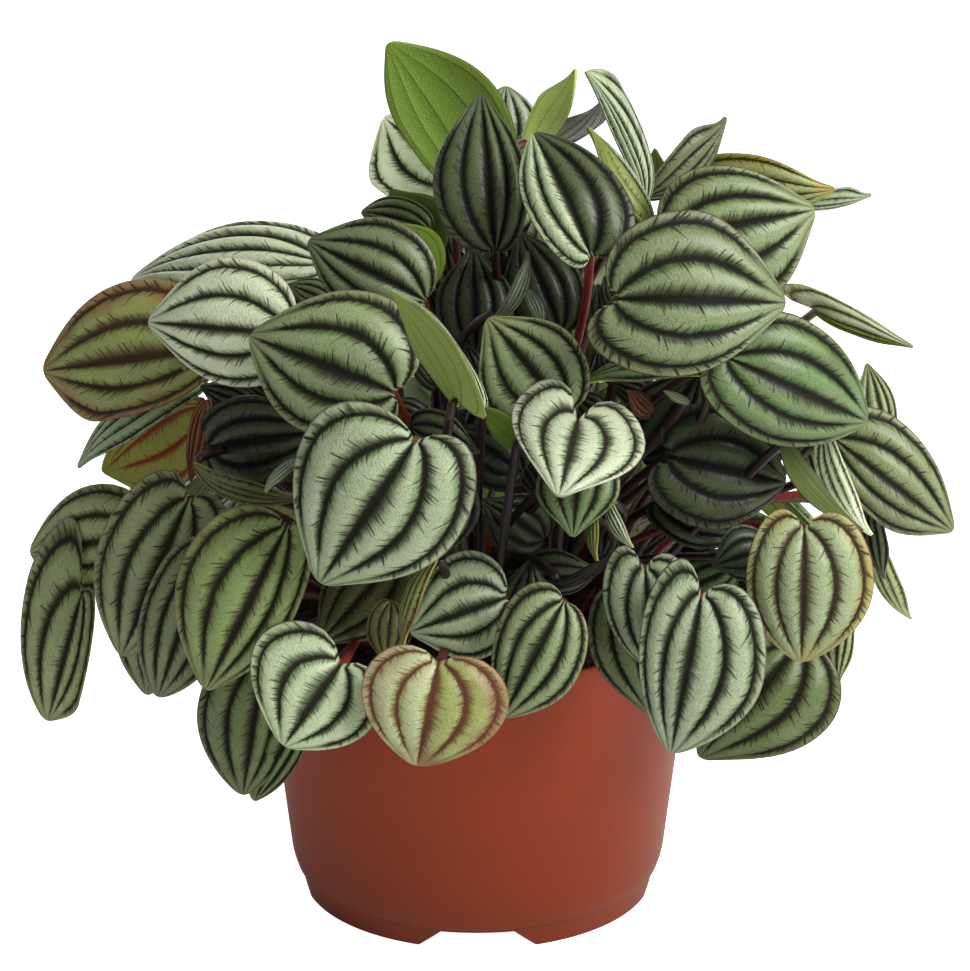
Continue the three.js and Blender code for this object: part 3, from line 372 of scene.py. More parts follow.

# Small shaded leaves deep between the others, most of them given a dark look and low brightness as
# painted shade: name, seat, tip, how much nearer, half widths, look and brightness. All are widest at the
# same share of their length, with the same lobe and the same stalk, darkened as painted shade.
SHADED_LEAVES = (
    ("J01", (522, 472), (458, 428), (38, 34), (36, 34), "dark", 0.8),
    ("J02", (682, 590), (746, 562), (46, 44), (28, 26), "fern", 0.7),
    ("J03", (601, 330), (598, 284), (18, 14), (17, 17), "dark", 0.7),
    ("J05", (334, 302), (288, 284), (30, 26), (16, 15), "sage", 1.3),
    ("J06", (428, 422), (388, 400), (44, 42), (15, 15), "dark", 0.8),
    ("J07", (604, 420), (572, 394), (30, 26), (17, 17), "dark", 0.7),
    ("J08", (446, 332), (426, 286), (14, 10), (16, 15), "dark", 0.7),
    ("J09", (482, 382), (464, 342), (34, 30), (13, 13), "dark", 0.8),
    ("J10", (652, 400), (608, 380), (26, 24), (16, 14), "dark", 0.7),
    ("J11", (602, 556), (610, 512), (62, 60), (14, 14), "dark", 0.5),
    ("J12", (252, 406), (200, 386), (22, 16), (17, 16), "dark", 0.7),
    ("J13", (816, 474), (802, 438), (30, 26), (11, 11), "fern", 0.7),
    ("J14", (668, 566), (716, 546), (40, 36), (15, 15), "dark", 0.8),
    ("J15", (486, 436), (458, 410), (16, 10), (16, 15), "dark", 0.7),
    ("J16", (536, 490), (520, 462), (20, 14), (14, 14), "dark", 0.7),
    ("J17", (720, 596), (752, 582), (34, 30), (13, 13), "dark", 0.8),
    ("J18", (436, 386), (412, 352), (40, 36), (12, 12), "dark", 0.7),
    ("J19", (308, 314), (284, 290), (26, 22), (11, 11), "dark", 0.8),
    ("J20", (272, 398), (244, 374), (36, 30), (12, 12), "dark", 0.7),
    ("J21", (646, 238), (622, 202), (6, 2), (12, 12), "dark", 0.7),
    ("J22", (618, 310), (604, 276), (40, 36), (11, 11), "dark", 0.6),
    ("J23", (614, 380), (600, 344), (44, 40), (12, 12), "dark", 0.6),
    ("J25", (462, 284), (446, 240), (-8, -12), (14, 14), "dark", 0.7),
)
SHADED_WIDEST = 0.4
SHADED_LOBE = 0.08
STALK_PAINTED_SHADE = 0.3

# Other small leaves and the scraps deep between them, in the form of the front leaves
INNER_LEAVES = (
    ("J04", (500, 292), (500, 234), (8, 2), (30, .3, .08), (24, .3, .08), 0, "dark", 0.7, {"stalk": .3}),
    ("J24", (484, 408), (394, 291), (88, 80), (3, .5, .02), (3, .5, .02), 0, "silver", 1.2,
     {"arch": .03, "bend": 14, "stalk": .3}),
    ("D01", (203, 400), (190, 482), (30, 34), (9, .4, .04), (13, .5, .04), 30, "dry", 1.3,
     {"arch": .04, "stalk": .3}),
    ("D02", (652, 414), (628, 390), (50, 52), (9, .4, .04), (11, .4, .04), 20, "dry", 1.15,
     {"arch": .02, "stalk": .3}),
    ("D03", (690, 402), (664, 390), (60, 60), (3, .4, .02), (5, .5, .02), 30, "pale", 1.0,
     {"arch": .02, "stalk": .3}),
)

# Leaves of the far side, in tiers from low to high, spread over an arc in degrees from +X: seat and tip as
# (radius, height), and the half width. They stand in and out by turns, and are shifted by small draws, whose
# full spread is given in degrees and millimetres.
BACK_TIERS = (
    {"count": 9, "from": 6, "to": 172, "seat": (84, 100), "tip": (109, 64), "half": 17.5},
    {"count": 8, "from": 14, "to": 164, "seat": (79, 128), "tip": (111, 103), "half": 16.5},
    {"count": 6, "from": 24, "to": 156, "seat": (62, 151), "tip": (94, 136), "half": 15.0},
    {"count": 3, "from": 46, "to": 110, "seat": (46, 170), "tip": (80, 172), "half": 14.5},
)
STAGGER = 4.5
BACK_SHIFTS = {"azimuth": 4, "swing": 16, "turn": 30, "reach": 4, "seat_height": 6, "tip_height": 10}
BACK_LOOKS = ("jade", "sage", "silver", "moss", "fern", "jade", "silver", "russet")

# Leaves of the back and the flanks: how far they look out and up, where widest and lobe, tip, and brightness
# (own tone with painted light and shade)
OUTER_FACING = (0.75, 0.65)
OUTER_HALF = (0.33, 0.1)
OUTER_BLUNT = 0.3
OUTER_PAINTED_LIGHT = 0.95

# Leaves of the two flanks: seat and tip as (degrees round the pot from +X, radius, height), and half width
SIDE_LEAVES = (
    ((-24, 70, 176), (-30, 90, 156), 13),
    ((-14, 74, 150), (-13, 94, 131), 13),
    ((-9, 80, 106), (-8, 94, 82), 12),
    ((-25, 80, 112), (-27, 97, 86), 11),
    ((-2, 60, 172), (0, 82, 156), 12),
    ((199, 64, 170), (197, 80, 154), 9),
    ((203, 70, 122), (204, 88, 100), 10),
    ((192, 80, 104), (194, 96, 82), 10),
    ((217, 72, 104), (219, 86, 82), 10),
    ((193, 58, 132), (192, 76, 112), 10),
)


# Small helpers

def draw(seed):
    """Repeatable draw between 0 and 1: the fraction left of a large sine of the seed."""
    x = math.sin(seed * 12.9898 + 4.1414) * 43758.5453
    return x - math.floor(x)


def unit(v):
    """Vector, or rows of vectors, scaled to length one."""
    return v / np.linalg.norm(v, axis=-1, keepdims=True)


def cubic(a, b, c, d, t):
    """Cubic Bezier curve through a and d, pulled towards b and c, at t."""
    s = 1 - t
    return s ** 3 * a + 3 * s * s * t * b + 3 * s * t * t * c + t ** 3 * d


def collect(parts):
    """Joins parts, each a dict of points, faces and values: faces are shifted by the points before them."""
    points, faces, shift = [], [], 0
    for part in parts:
        points.append(part["points"])
        faces += [block + shift for block in part["faces"]]
        shift += len(part["points"])
    values = {key: np.concatenate([part["values"][key] for part in parts]) for key in parts[0]["values"]}
    return np.concatenate(points), faces, values


def make_object(name, points, faces, materials, slots=None):
    """Mesh object from points in millimetres and blocks of faces, where the faces of one block have the same
    number of sides. slots gives a material index for each face."""
    mesh = bpy.data.meshes.new(name)
    sizes = np.concatenate([np.full(len(block), block.shape[1]) for block in faces])
    corners = np.concatenate([block.ravel() for block in faces])
    mesh.vertices.add(len(points))
    mesh.vertices.foreach_set("co", (points * MM).astype(np.float32).ravel())
    mesh.loops.add(len(corners))
    mesh.loops.foreach_set("vertex_index", corners.astype(np.int32))
    mesh.polygons.add(len(sizes))
    mesh.polygons.foreach_set("loop_start", (np.cumsum(sizes) - sizes).astype(np.int32))
    for material in materials:
        mesh.materials.append(material)
    if slots is not None:
        mesh.polygons.foreach_set("material_index", slots.astype(np.int32))
    mesh.polygons.foreach_set("use_smooth", np.ones(len(sizes), bool))
    mesh.update(calc_edges=True)
    mesh.validate()
    made = bpy.data.objects.new(name, mesh)
    bpy.context.scene.collection.objects.link(made)
    return made


def set_uv(mesh, name, uv):
    """UV map from one (u, v) for each vertex."""
    corners = np.empty(len(mesh.loops), np.int32)
    mesh.loops.foreach_get("vertex_index", corners)
    layer = mesh.uv_layers.new(name=name)
    layer.data.foreach_set("uv", uv[corners].astype(np.float32).ravel())


def set_colours(mesh, name, colours):
    """Attribute of four numbers for each vertex."""
    layer = mesh.attributes.new(name, "FLOAT_COLOR", "POINT")
    layer.data.foreach_set("color", colours.astype(np.float32).ravel())


def smooth_noise(points, seed, size):
    """Value noise: a hash of each corner of the cubic cell that holds a point, blended by smooth steps."""
    p = points / size
    base = np.floor(p)
    f = p - base
    f = f * f * (3 - 2 * f)
    total = np.zeros(len(points))
    for corner in range(8):
        step = np.array([corner & 1, (corner >> 1) & 1, (corner >> 2) & 1])
        cell = base + step
        value = np.sin(cell @ np.array([127.1, 311.7, 74.7]) + seed * 17.3) * 43758.5453
        value -= np.floor(value)
        total += value * np.prod(np.where(step == 1, f, 1 - f), axis=1)
    return total


# Shader helpers

class Graph:
    """Adds nodes to a node tree and links them, so that a material reads as a list of steps."""

    def __init__(self, tree):
        self.tree = tree

    def node(self, kind, **settings):
        """New node of a kind, with its settings."""
        made = self.tree.nodes.new(kind)
        for key, value in settings.items():
            setattr(made, key, value)
        return made

    def feed(self, socket, value):
        """Links an output to a socket, or sets the socket to a plain value."""
        if isinstance(value, bpy.types.NodeSocket):
            self.tree.links.new(value, socket)
        elif isinstance(value, tuple) and len(value) == 3 and socket.type == "RGBA":
            socket.default_value = (*value, 1.0)
        else:
            socket.default_value = value

    def math(self, operation, a, b=None, c=None):
        """Result of an operation on up to three numbers."""
        made = self.node("ShaderNodeMath", operation=operation)
        for socket, value in zip(made.inputs, (a, b, c)):
            if value is not None:
                self.feed(socket, value)
        return made.outputs[0]

    def step(self, value, low, high, to_low=0.0, to_high=1.0):
        """Smooth step of value from low to high."""
        made = self.node("ShaderNodeMapRange", interpolation_type="SMOOTHSTEP")
        for socket, given in zip(made.inputs, (value, low, high, to_low, to_high)):
            self.feed(socket, given)
        return made.outputs[0]

    def blend(self, factor, a, b):
        """Colour a where factor is 0, b where it is 1."""
        made = self.node("ShaderNodeMix", data_type="RGBA")
        self.feed(made.inputs[0], factor)
        self.feed(made.inputs[6], a)
        self.feed(made.inputs[7], b)
        return made.outputs[2]

    def scaled(self, colour, factor):
        """Colour times a number."""
        made = self.node("ShaderNodeVectorMath", operation="SCALE")
        self.feed(made.inputs[0], colour)
        self.feed(made.inputs[3], factor)
        return made.outputs[0]

    def vector(self, x, y, z):
        """Vector of three numbers."""
        made = self.node("ShaderNodeCombineXYZ")
        for socket, value in zip(made.inputs, (x, y, z)):
            self.feed(socket, value)
        return made.outputs[0]

    def parts(self, vector):
        """The three numbers of a vector."""
        made = self.node("ShaderNodeSeparateXYZ")
        self.feed(made.inputs[0], vector)
        return made.outputs

    def noise(self, vector, scale=1.0, detail=0.0, roughness=0.5):
        """Soft noise between 0 and 1."""
        made = self.node("ShaderNodeTexNoise")
        self.feed(made.inputs["Vector"], vector)
        made.inputs["Scale"].default_value = scale
        made.inputs["Detail"].default_value = detail
        made.inputs["Roughness"].default_value = roughness
        return made.outputs[0]

    def cells(self, vector, scale):
        """Distance to the nearest of scattered points, and that point's own values."""
        made = self.node("ShaderNodeTexVoronoi")
        self.feed(made.inputs["Vector"], vector)
        made.inputs["Scale"].default_value = scale
        return made.outputs

    def attribute(self, name):
        """Colour, alpha and number that the mesh carries under a name."""
        return self.node("ShaderNodeAttribute", attribute_name=name).outputs

    def place(self):
        """Place on the piece, in metres."""
        return self.node("ShaderNodeTexCoord").outputs["Object"]

    def bump(self, height, strength, distance):
        """Normal tilted by the slope of a height."""
        made = self.node("ShaderNodeBump")
        self.feed(made.inputs["Height"], height)
        made.inputs["Strength"].default_value = strength
        made.inputs["Distance"].default_value = distance
        return made.outputs[0]

    def group(self, tree, **given):
        """Outputs of a node group, with its inputs given by name."""
        made = self.node("ShaderNodeGroup")
        made.node_tree = tree
        for key, value in given.items():
            self.feed(made.inputs[key.capitalize()], value)
        return made.outputs


def new_group(name, inputs, outputs):
    """Empty shader node group with named sockets, each input given as (name, type, default): gives the
    group, its graph, the sockets of its inputs and those of its outputs."""
    tree = bpy.data.node_groups.new(name, "ShaderNodeTree")
    for title, kind, default in inputs:
        socket = tree.interface.new_socket(title, in_out="INPUT", socket_type=kind)
        if default is not None:
            socket.default_value = default
    for title, kind in outputs:
        tree.interface.new_socket(title, in_out="OUTPUT", socket_type=kind)
    given = tree.nodes.new("NodeGroupInput").outputs
    out = tree.nodes.new("NodeGroupOutput").inputs
    return tree, Graph(tree), given, out


def new_material(name):
    """Material with a bare Principled BSDF: gives the material, its graph and the shader's inputs."""
    material = bpy.data.materials.new(name)
    material.use_nodes = True
    graph = Graph(material.node_tree)
    shader = next(node for node in material.node_tree.nodes if node.type == "BSDF_PRINCIPLED")
    return material, graph, shader.inputs


def grain_group():
    """Fine natural grain: a tone near 1 that wanders in two sizes, and a height for the bump."""
    tree, g, given, out = new_group(
        "fine_grain",
        [("Place", "NodeSocketVector", None), ("Fine", "NodeSocketFloat", 900.0),
         ("Coarse", "NodeSocketFloat", 40.0), ("Amount", "NodeSocketFloat", 0.15)],
        [("Tone", "NodeSocketFloat"), ("Height", "NodeSocketFloat")],
    )
    fine = g.node("ShaderNodeTexNoise")
    coarse = g.node("ShaderNodeTexNoise")
    for node, size in ((fine, "Fine"), (coarse, "Coarse")):
        g.feed(node.inputs["Vector"], given["Place"])
        g.feed(node.inputs["Scale"], given[size])
        node.inputs["Detail"].default_value = 2.0
    fine_part = g.math("SUBTRACT", fine.outputs[0], 0.5)
    wander = g.math("ADD", fine_part, g.math("SUBTRACT", coarse.outputs[0], 0.5))
    g.feed(out["Tone"], g.math("MULTIPLY_ADD", wander, g.math("MULTIPLY", given["Amount"], 2.0), 1.0))
    g.feed(out["Height"], fine.outputs[0])
    return tree


def shared_grain():
    """The grain node group, made once."""
    return bpy.data.node_groups.get("fine_grain") or grain_group()


def vein_group():
    """Bands along five veins. Across the blade, s = slope a + curve a squared counts the veins from the
    midrib, where a runs from 0 at the midrib to 1 at the rim: a vein lies at s = 0, 1 and 2.

    Dark: a band about each vein that narrows to the tip and outwards, sharper on its inner side, its edge
    broken by fine grain. Feathers of three sizes, one in each cell along the vein and of a drawn length,
    lean from the band to the tip. Smoke: the brown tint with painted shade along the outer side of a band;
    the midrib has it on one side alone. Halo: the green strip before the pale crest. Line: the bare vein.
    Rim: the thin edge of the blade. Streak: short stripes across it. Net: the veinlets, as the borders of
    stretched cells. The bands fade out before the tip, the outer ones first."""
    tree, g, given, out = new_group(
        "vein_bands",
        [("Along", "NodeSocketFloat", 0.5), ("Across", "NodeSocketFloat", 0.0),
         ("Grain", "NodeSocketFloat", 0.5), ("Seed", "NodeSocketFloat", 0.0),
         ("Width", "NodeSocketFloat", 0.18)],
        [("Dark", "NodeSocketFloat"), ("Smoke", "NodeSocketFloat"), ("Halo", "NodeSocketFloat"),
         ("Line", "NodeSocketFloat"), ("Rim", "NodeSocketFloat"), ("Streak", "NodeSocketFloat"),
         ("Net", "NodeSocketFloat")],
    )

    # The nearest vein, the side of it, and a row number of its own for the draws
    along = given["Along"]
    a = g.math("ABSOLUTE", given["Across"])
    s = g.math("MULTIPLY", a, g.math("MULTIPLY_ADD", a, VEIN_CURVE, VEIN_SLOPE))
    vein = g.math("MINIMUM", g.math("ROUND", s), VEIN_LAST)
    off = g.math("SUBTRACT", s, vein)
    near = g.math("ABSOLUTE", off)
    outer = g.step(off, -0.01, 0.01)
    seed = g.math("MULTIPLY", given["Seed"], 91.0)
    row = g.math("MULTIPLY_ADD", vein, 3.7, g.math("MULTIPLY", outer, 1.3))
    row = g.math("MULTIPLY_ADD", g.math("SIGN", given["Across"]), 11.0, row)
    row = g.math("ADD", row, seed)
    # Side of a band that gets the brown tint with painted shade: the outer one, and one side of the midrib
    # more than the other
    plain_side = g.math("MULTIPLY", given["Across"], g.math("SUBTRACT", given["Seed"], 0.5))
    plain_side = g.math("MULTIPLY", g.math("LESS_THAN", plain_side, 0.0), g.math("LESS_THAN", vein, 0.5))
    smoky = g.math("MULTIPLY_ADD", plain_side, -0.7, outer)
    lean = g.math("MULTIPLY_ADD", near, -0.1, along)
    sway = g.noise(g.vector(g.math("MULTIPLY", along, 9.0), row, seed))
    rough = g.noise(g.vector(g.math("MULTIPLY", lean, 46.0), row, seed))

    # Half width of the band, its soft edge and the bare vein in it
    taper = g.math("MULTIPLY_ADD", g.step(along, 0.02, 0.34), -0.5, 1.5)
    taper = g.math("MULTIPLY", taper, g.step(along, 0.6, 1.0, 1.0, 0.55))
    taper = g.math("MULTIPLY", taper, g.math("MULTIPLY_ADD", vein, -0.3, 1.1))
    taper = g.math("MULTIPLY", taper, g.math("MULTIPLY_ADD", smoky, 0.35, 0.75))
    edge = g.math("MULTIPLY", given["Width"], taper)
    edge = g.math("MULTIPLY_ADD", g.math("SUBTRACT", sway, 0.5), 0.1, edge)
    edge = g.math("MULTIPLY_ADD", g.math("SUBTRACT", rough, 0.5), 0.1, edge)
    edge = g.math("MULTIPLY_ADD", g.math("SUBTRACT", given["Grain"], 0.5), 0.12, edge)
    soft = g.math("MULTIPLY", edge, g.math("MULTIPLY_ADD", smoky, 0.5, 1.0))
    dark = g.step(near, g.math("MULTIPLY", edge, 0.35), g.math("ADD", soft, 0.04), 1.0, 0.0)
    line = g.step(near, 0.015, 0.06, 1.0, 0.0)
    dark = g.math("MAXIMUM", dark, line)

    # Feathers that stand out of the band
    for count, reach, width, shift in FEATHERS:
        x = g.math("MULTIPLY_ADD", lean, count, g.math("MULTIPLY", row, 0.37))
        drawn = g.node("ShaderNodeTexWhiteNoise", noise_dimensions="3D")
        g.feed(drawn.inputs["Vector"], g.vector(g.math("FLOOR", x), row, shift))
        length, place, strength = g.parts(drawn.outputs["Color"])
        aside = g.math("SUBTRACT", g.math("FRACT", x), g.math("MULTIPLY_ADD", place, 0.4, 0.3))
        span = g.math("MULTIPLY", length, g.math("MULTIPLY_ADD", smoky, 0.5 * reach, 0.5 * reach))
        end = g.math("MULTIPLY_ADD", edge, 0.8, span)
        share = g.step(near, g.math("MULTIPLY", edge, 0.4), end, 1.0, 0.0)
        half = g.math("MULTIPLY", share, width)
        spike = g.step(g.math("ABSOLUTE", aside), g.math("MULTIPLY", half, 0.2), half, 1.0, 0.0)
        spike = g.math("MULTIPLY", spike, g.math("MULTIPLY_ADD", strength, 0.4, 0.6))
        dark = g.math("MAXIMUM", dark, spike)

    # Fade to the tip, and what lies beside and between the bands
    fade = g.math("MULTIPLY_ADD", vein, -0.09, 0.9)
    fade = g.step(along, fade, g.math("ADD", fade, 0.11), 1.0, 0.0)
    dark = g.math("MULTIPLY", dark, fade)
    # Brown tint with painted shade along the outer side of a band, fading less than the band towards the tip
    smoke_and_painted_shade_end = g.math("MULTIPLY", edge, g.math("MULTIPLY_ADD", smoky, 1.5, 1.25))
    smoke_and_painted_shade = g.step(near, g.math("MULTIPLY", edge, 0.4), g.math("ADD", smoke_and_painted_shade_end, 0.05), 1.0, 0.0)
    smoke_and_painted_shade = g.math("MULTIPLY", smoke_and_painted_shade, g.math("MULTIPLY_ADD", fade, 0.8, 0.2))
    halo = g.step(near, g.math("MULTIPLY", edge, 0.9), g.math("ADD", edge, 0.26), 1.0, 0.0)
    rim = g.step(s, RIM_AT - 0.05, RIM_AT - 0.03)
    net = g.node("ShaderNodeTexVoronoi", feature="DISTANCE_TO_EDGE")
    g.feed(net.inputs["Vector"], g.vector(g.math("MULTIPLY", lean, 17.0), g.math("MULTIPLY", s, 2.6), row))
    net = g.step(net.outputs["Distance"], 0.0, 0.09, 1.0, 0.0)
    streak = g.noise(g.vector(g.math("MULTIPLY", along, 90.0), g.math("MULTIPLY", s, 5.0), row), detail=1.0)
    g.feed(out["Dark"], g.math("MULTIPLY", dark, g.math("SUBTRACT", 1.0, rim)))
    g.feed(out["Smoke"], smoke_and_painted_shade)
    g.feed(out["Halo"], halo)
    g.feed(out["Line"], line)
    g.feed(out["Rim"], rim)
    g.feed(out["Streak"], streak)
    g.feed(out["Net"], net)
    return tree


# Materials

def blade_material(grain, veins, roughness):
    """Leaf blade: silvery grained crests, green beside the veins, dark feathered bands with a brown tint and
    painted shade on one side, a thin rim and a plain underside with five fine veins."""
    material, g, shader = new_material("leaf_blade")
    uv = g.parts(g.node("ShaderNodeUVMap", uv_map="leaf").outputs[0])
    across = g.math("MULTIPLY_ADD", uv[1], 2.0, -1.0)
    panel = g.attribute("panel")
    halo = g.attribute("halo")
    band = g.attribute("band")
    rim = g.attribute("rim")
    under = g.attribute("under")
    flush = g.attribute("flush")
    upper = g.step(g.attribute("facing")["Fac"], 0.4, 0.6)
    fine = g.group(grain, place=g.place(), fine=2200.0, coarse=190.0, amount=0.15)
    vein = g.group(veins, along=uv[0], across=across, grain=fine["Height"], seed=panel["Alpha"],
                   width=band["Alpha"])

    # Upper face: crest, streaks, veinlets, flush, spots, smoke (brown tint with painted shade), bands, rim,
    # and the navel over the petiole
    patch = g.noise(g.place(), scale=110.0, detail=1.0)
    greened = g.math("ADD", vein["Halo"], g.math("MULTIPLY_ADD", patch, 1.3, -0.65))
    crest = g.blend(g.step(greened, 0.1, 0.9), panel["Color"], halo["Color"])
    streaked = g.scaled(crest, g.math("MULTIPLY_ADD", vein["Streak"], 0.36, 0.82))
    netted = g.blend(g.math("MULTIPLY", vein["Net"], 0.5), streaked, g.scaled(halo["Color"], 0.42))
    mottled = g.scaled(netted, fine["Tone"])
    reach = g.math("MAXIMUM", g.math("ABSOLUTE", across), g.step(uv[0], 0.5, 1.0))
    reach = g.math("MULTIPLY_ADD", g.math("SUBTRACT", patch, 0.5), 0.9, reach)
    flushed = g.blend(g.math("MULTIPLY", g.step(reach, 0.6, 1.1), flush["Alpha"]), mottled, flush["Color"])
    dots = g.step(g.cells(g.place(), 420.0)["Distance"], 0.12, 0.3, 1.0, 0.0)
    dots = g.math("MULTIPLY", dots, g.step(patch, 0.5, 0.62))
    spotted = g.blend(g.math("MULTIPLY", dots, under["Alpha"]), flushed, srgb(60, 48, 26))
    # Brown tint with painted shade beside the bands
    brown = g.blend(0.6, band["Color"], rim["Color"])
    smoky = g.blend(g.math("MULTIPLY", vein["Smoke"], 0.68), spotted, brown)
    banded = g.blend(vein["Dark"], smoky, g.scaled(band["Color"], fine["Tone"]))
    rimmed = g.blend(g.math("MULTIPLY", vein["Rim"], rim["Alpha"]), banded, rim["Color"])
    navel = g.blend(g.step(uv[0], 0.01, 0.03, 0.6, 0.0), rimmed, srgb(128, 70, 54))

    # Underside, then both faces together
    below = g.scaled(under["Color"], g.math("MULTIPLY_ADD", vein["Streak"], 0.16, 0.92))
    below = g.blend(g.math("MULTIPLY", vein["Line"], 0.7), below, g.scaled(under["Color"], 0.32))
    below = g.blend(g.math("MULTIPLY", vein["Dark"], halo["Alpha"]), below, band["Color"])
    below = g.blend(vein["Rim"], below, rim["Color"])
    g.feed(shader["Base Color"], g.blend(upper, below, navel))
    g.feed(shader["Roughness"], g.math("MULTIPLY_ADD", vein["Dark"], 0.25, roughness))
    shader["Specular IOR Level"].default_value = 0.16
    shine = g.math("MULTIPLY_ADD", upper, 0.3, 0.1)
    g.feed(shader["Coat Weight"], g.math("MULTIPLY", g.math("SUBTRACT", 1.0, vein["Dark"]), shine))
    shader["Coat Roughness"].default_value = 0.3
    height = g.math("MULTIPLY_ADD", vein["Streak"], 0.5, fine["Height"])
    g.feed(shader["Normal"], g.bump(height, 0.45, 0.0007))
    return material


def stalk_material(grain):
    """Petioles and stubs: crimson to olive skin with fine streaks along their length."""
    material, g, shader = new_material("stalk")
    uv = g.parts(g.node("ShaderNodeUVMap", uv_map="leaf").outputs[0])
    panel = g.attribute("panel")
    seed = g.math("MULTIPLY", panel["Alpha"], 53.0)
    around = g.math("MULTIPLY", uv[1], 16.0)
    streak = g.noise(g.vector(g.math("MULTIPLY", uv[0], 6.0), around, seed), detail=2.0)
    around = g.math("MULTIPLY", uv[1], 22.0)
    fleck = g.noise(g.vector(g.math("MULTIPLY", uv[0], 60.0), around, seed), detail=1.0)
    fine = g.group(grain, place=g.place(), fine=1100.0, coarse=120.0, amount=0.14)
    tone = g.math("MULTIPLY", fine["Tone"], g.math("MULTIPLY_ADD", streak, 0.7, 0.62))
    skin = g.scaled(panel["Color"], tone)
    g.feed(shader["Base Color"], g.scaled(skin, g.step(fleck, 0.56, 0.72, 1.0, 1.9)))
    shader["Roughness"].default_value = 0.38
    g.feed(shader["Normal"], g.bump(g.math("ADD", streak, fine["Height"]), 0.35, 0.0004))
    return material


def pot_material(grain, colour):
    """Thin moulded plastic: faint flow marks round the wall, painted shade over its lowest 60 mm, a little
    dust low down and fine scuffs.
    """
    material, g, shader = new_material("pot_plastic")
    place = g.place()
    x, y, z = g.parts(place)

    def stretched(wide, high, detail):
        """Noise of one size round the wall and of another up it."""
        across = [g.math("MULTIPLY", part, wide) for part in (x, y)]
        return g.noise(g.vector(*across, g.math("MULTIPLY", z, high)), detail=detail)

    fine = g.group(grain, place=place, fine=1400.0, coarse=22.0, amount=0.05)
    flow = stretched(12.0, 260.0, 2.0)
    scuff = stretched(160.0, 900.0, 3.0)
    # Painted shade: the wall darkens towards the bottom, to about three quarters at the foot, with the flow
    # marks
    shade = g.math("MULTIPLY_ADD", flow, 0.12, g.step(z, 0.0, 0.06, 0.74, 1.04))
    tone = g.math("MULTIPLY", fine["Tone"], shade)
    worn = g.blend(g.step(scuff, 0.66, 0.8, 0.0, 0.2), g.scaled(colour, tone), srgb(146, 66, 34))
    dusty = g.blend(g.step(z, 0.0, 0.02, 0.16, 0.0), worn, srgb(112, 62, 40))
    g.feed(shader["Base Color"], dusty)
    g.feed(shader["Roughness"], g.math("MULTIPLY_ADD", flow, 0.12, 0.38))
    shader["Specular IOR Level"].default_value = 0.25
    g.feed(shader["Normal"], g.bump(g.math("ADD", fine["Height"], flow), 0.08, 0.0003))
    return material


def soil_material(grain, colour):
    """Moist potting soil: near black crumbs with browner fibres and a few pale grains."""
    material, g, shader = new_material("soil_crumb")
    fine = g.group(grain, place=g.place(), fine=700.0, coarse=90.0, amount=0.5)
    fibre = g.noise(g.place(), scale=260.0, detail=4.0, roughness=0.7)
    brown = g.blend(g.step(fibre, 0.52, 0.7), g.scaled(colour, fine["Tone"]), srgb(84, 60, 42))
    g.feed(shader["Base Color"], brown)
    shader["Roughness"].default_value = 0.92
    g.feed(shader["Normal"], g.bump(g.math("ADD", fibre, fine["Height"]), 0.8, 0.0012))
    return material


# Leaf placing

def seen_point(at, near):
    """Point seen at picture units (across, down), near millimetres before the pot axis: the ray from the eye
    through the picture, followed until its y is minus near."""
    focal = VIEW_DISTANCE * VIEW_SCALE
    right = (at[0] - FRAME_SIZE[0] / 2) / focal
    down = (at[1] - FRAME_SIZE[1] / 2) / focal
    ray = VIEW_FORWARD + np.array([right, 0, 0]) - VIEW_UP * down
    return VIEW_EYE + ray * (-near - VIEW_EYE[1]) / ray[1]


def leaf_of(name, seat, tip, face, right, left, turn, look, tone_and_painted_light, extras):
    """Leaf as a dict: its seat, length and axes across, along and up, where up is the facing direction made
    square to the axis and turned about it. right and left hold (width, where widest, lobe) of each half. The
    furrows of a leaf that shows its underside are weaker."""
    length = float(np.linalg.norm(tip - seat))
    axis = (tip - seat) / length
    flat = unit(face - axis * (face @ axis))
    side = np.cross(axis, flat)
    up = flat * math.cos(turn) + side * math.sin(turn)
    leaf = {
        "name": name, "seat": seat, "length": length, "axis": axis, "up": up, "across": np.cross(axis, up),
        "right": right, "left": left, "look": look, "right_look": look, "tone_and_painted_light": tone_and_painted_light,
        "arch": ARCH, "bend": 0.0, "blunt": 0.0, "ribs": UNDERSIDE_RIBS if math.cos(turn) < 0 else 1.0,
        "hook": 1.0, "stalk": 1.0, "stem": None,
    }
    leaf.update(extras)
    return leaf


def shaded_rows():
    """Rows of the small shaded leaves, filled up to the form of the other tables."""
    for name, seat, tip, near, (right, left), look, tone_and_painted_light in SHADED_LEAVES:
        halves = [(half, SHADED_WIDEST, SHADED_LOBE) for half in (right, left)]
        yield name, seat, tip, near, *halves, 0, look, tone_and_painted_light, {"stalk": STALK_PAINTED_SHADE}


def seen_leaves(table):
    """Leaves of a table in picture units; widths seen aslant are stretched to their true size."""
    leaves = []
    for name, seat_at, tip_at, near, right, left, degrees, look, tone_and_painted_light, extras in table:
        seat = seen_point(seat_at, near[0])
        tip = seen_point(tip_at, near[1])
        turn = math.radians(degrees)
        halves = [(w / VIEW_SCALE / abs(math.cos(turn)), at, lobe) for w, at, lobe in (right, left)]
        if math.cos(turn) < 0:
            halves.reverse()
        face = VIEW_EYE - (seat + tip) / 2
        leaves.append(leaf_of(name, seat, tip, face, *halves, turn, look, tone_and_painted_light, extras))
    return leaves


def outer_leaf(name, seat_at, tip_at, halves, turn, look):
    """Leaf that looks out of the dome; seat and tip are (turn round the pot in radians, radius, height)."""
    seat, tip = (np.array([r * math.cos(a), r * math.sin(a), z]) for a, r, z in (seat_at, tip_at))
    out, up = OUTER_FACING
    face = np.array([out * math.cos(seat_at[0]), out * math.sin(seat_at[0]), up])
    sizes = [(half, *OUTER_HALF) for half in halves]
    return leaf_of(name, seat, tip, face, *sizes, turn, look, OUTER_PAINTED_LIGHT, {"blunt": OUTER_BLUNT})


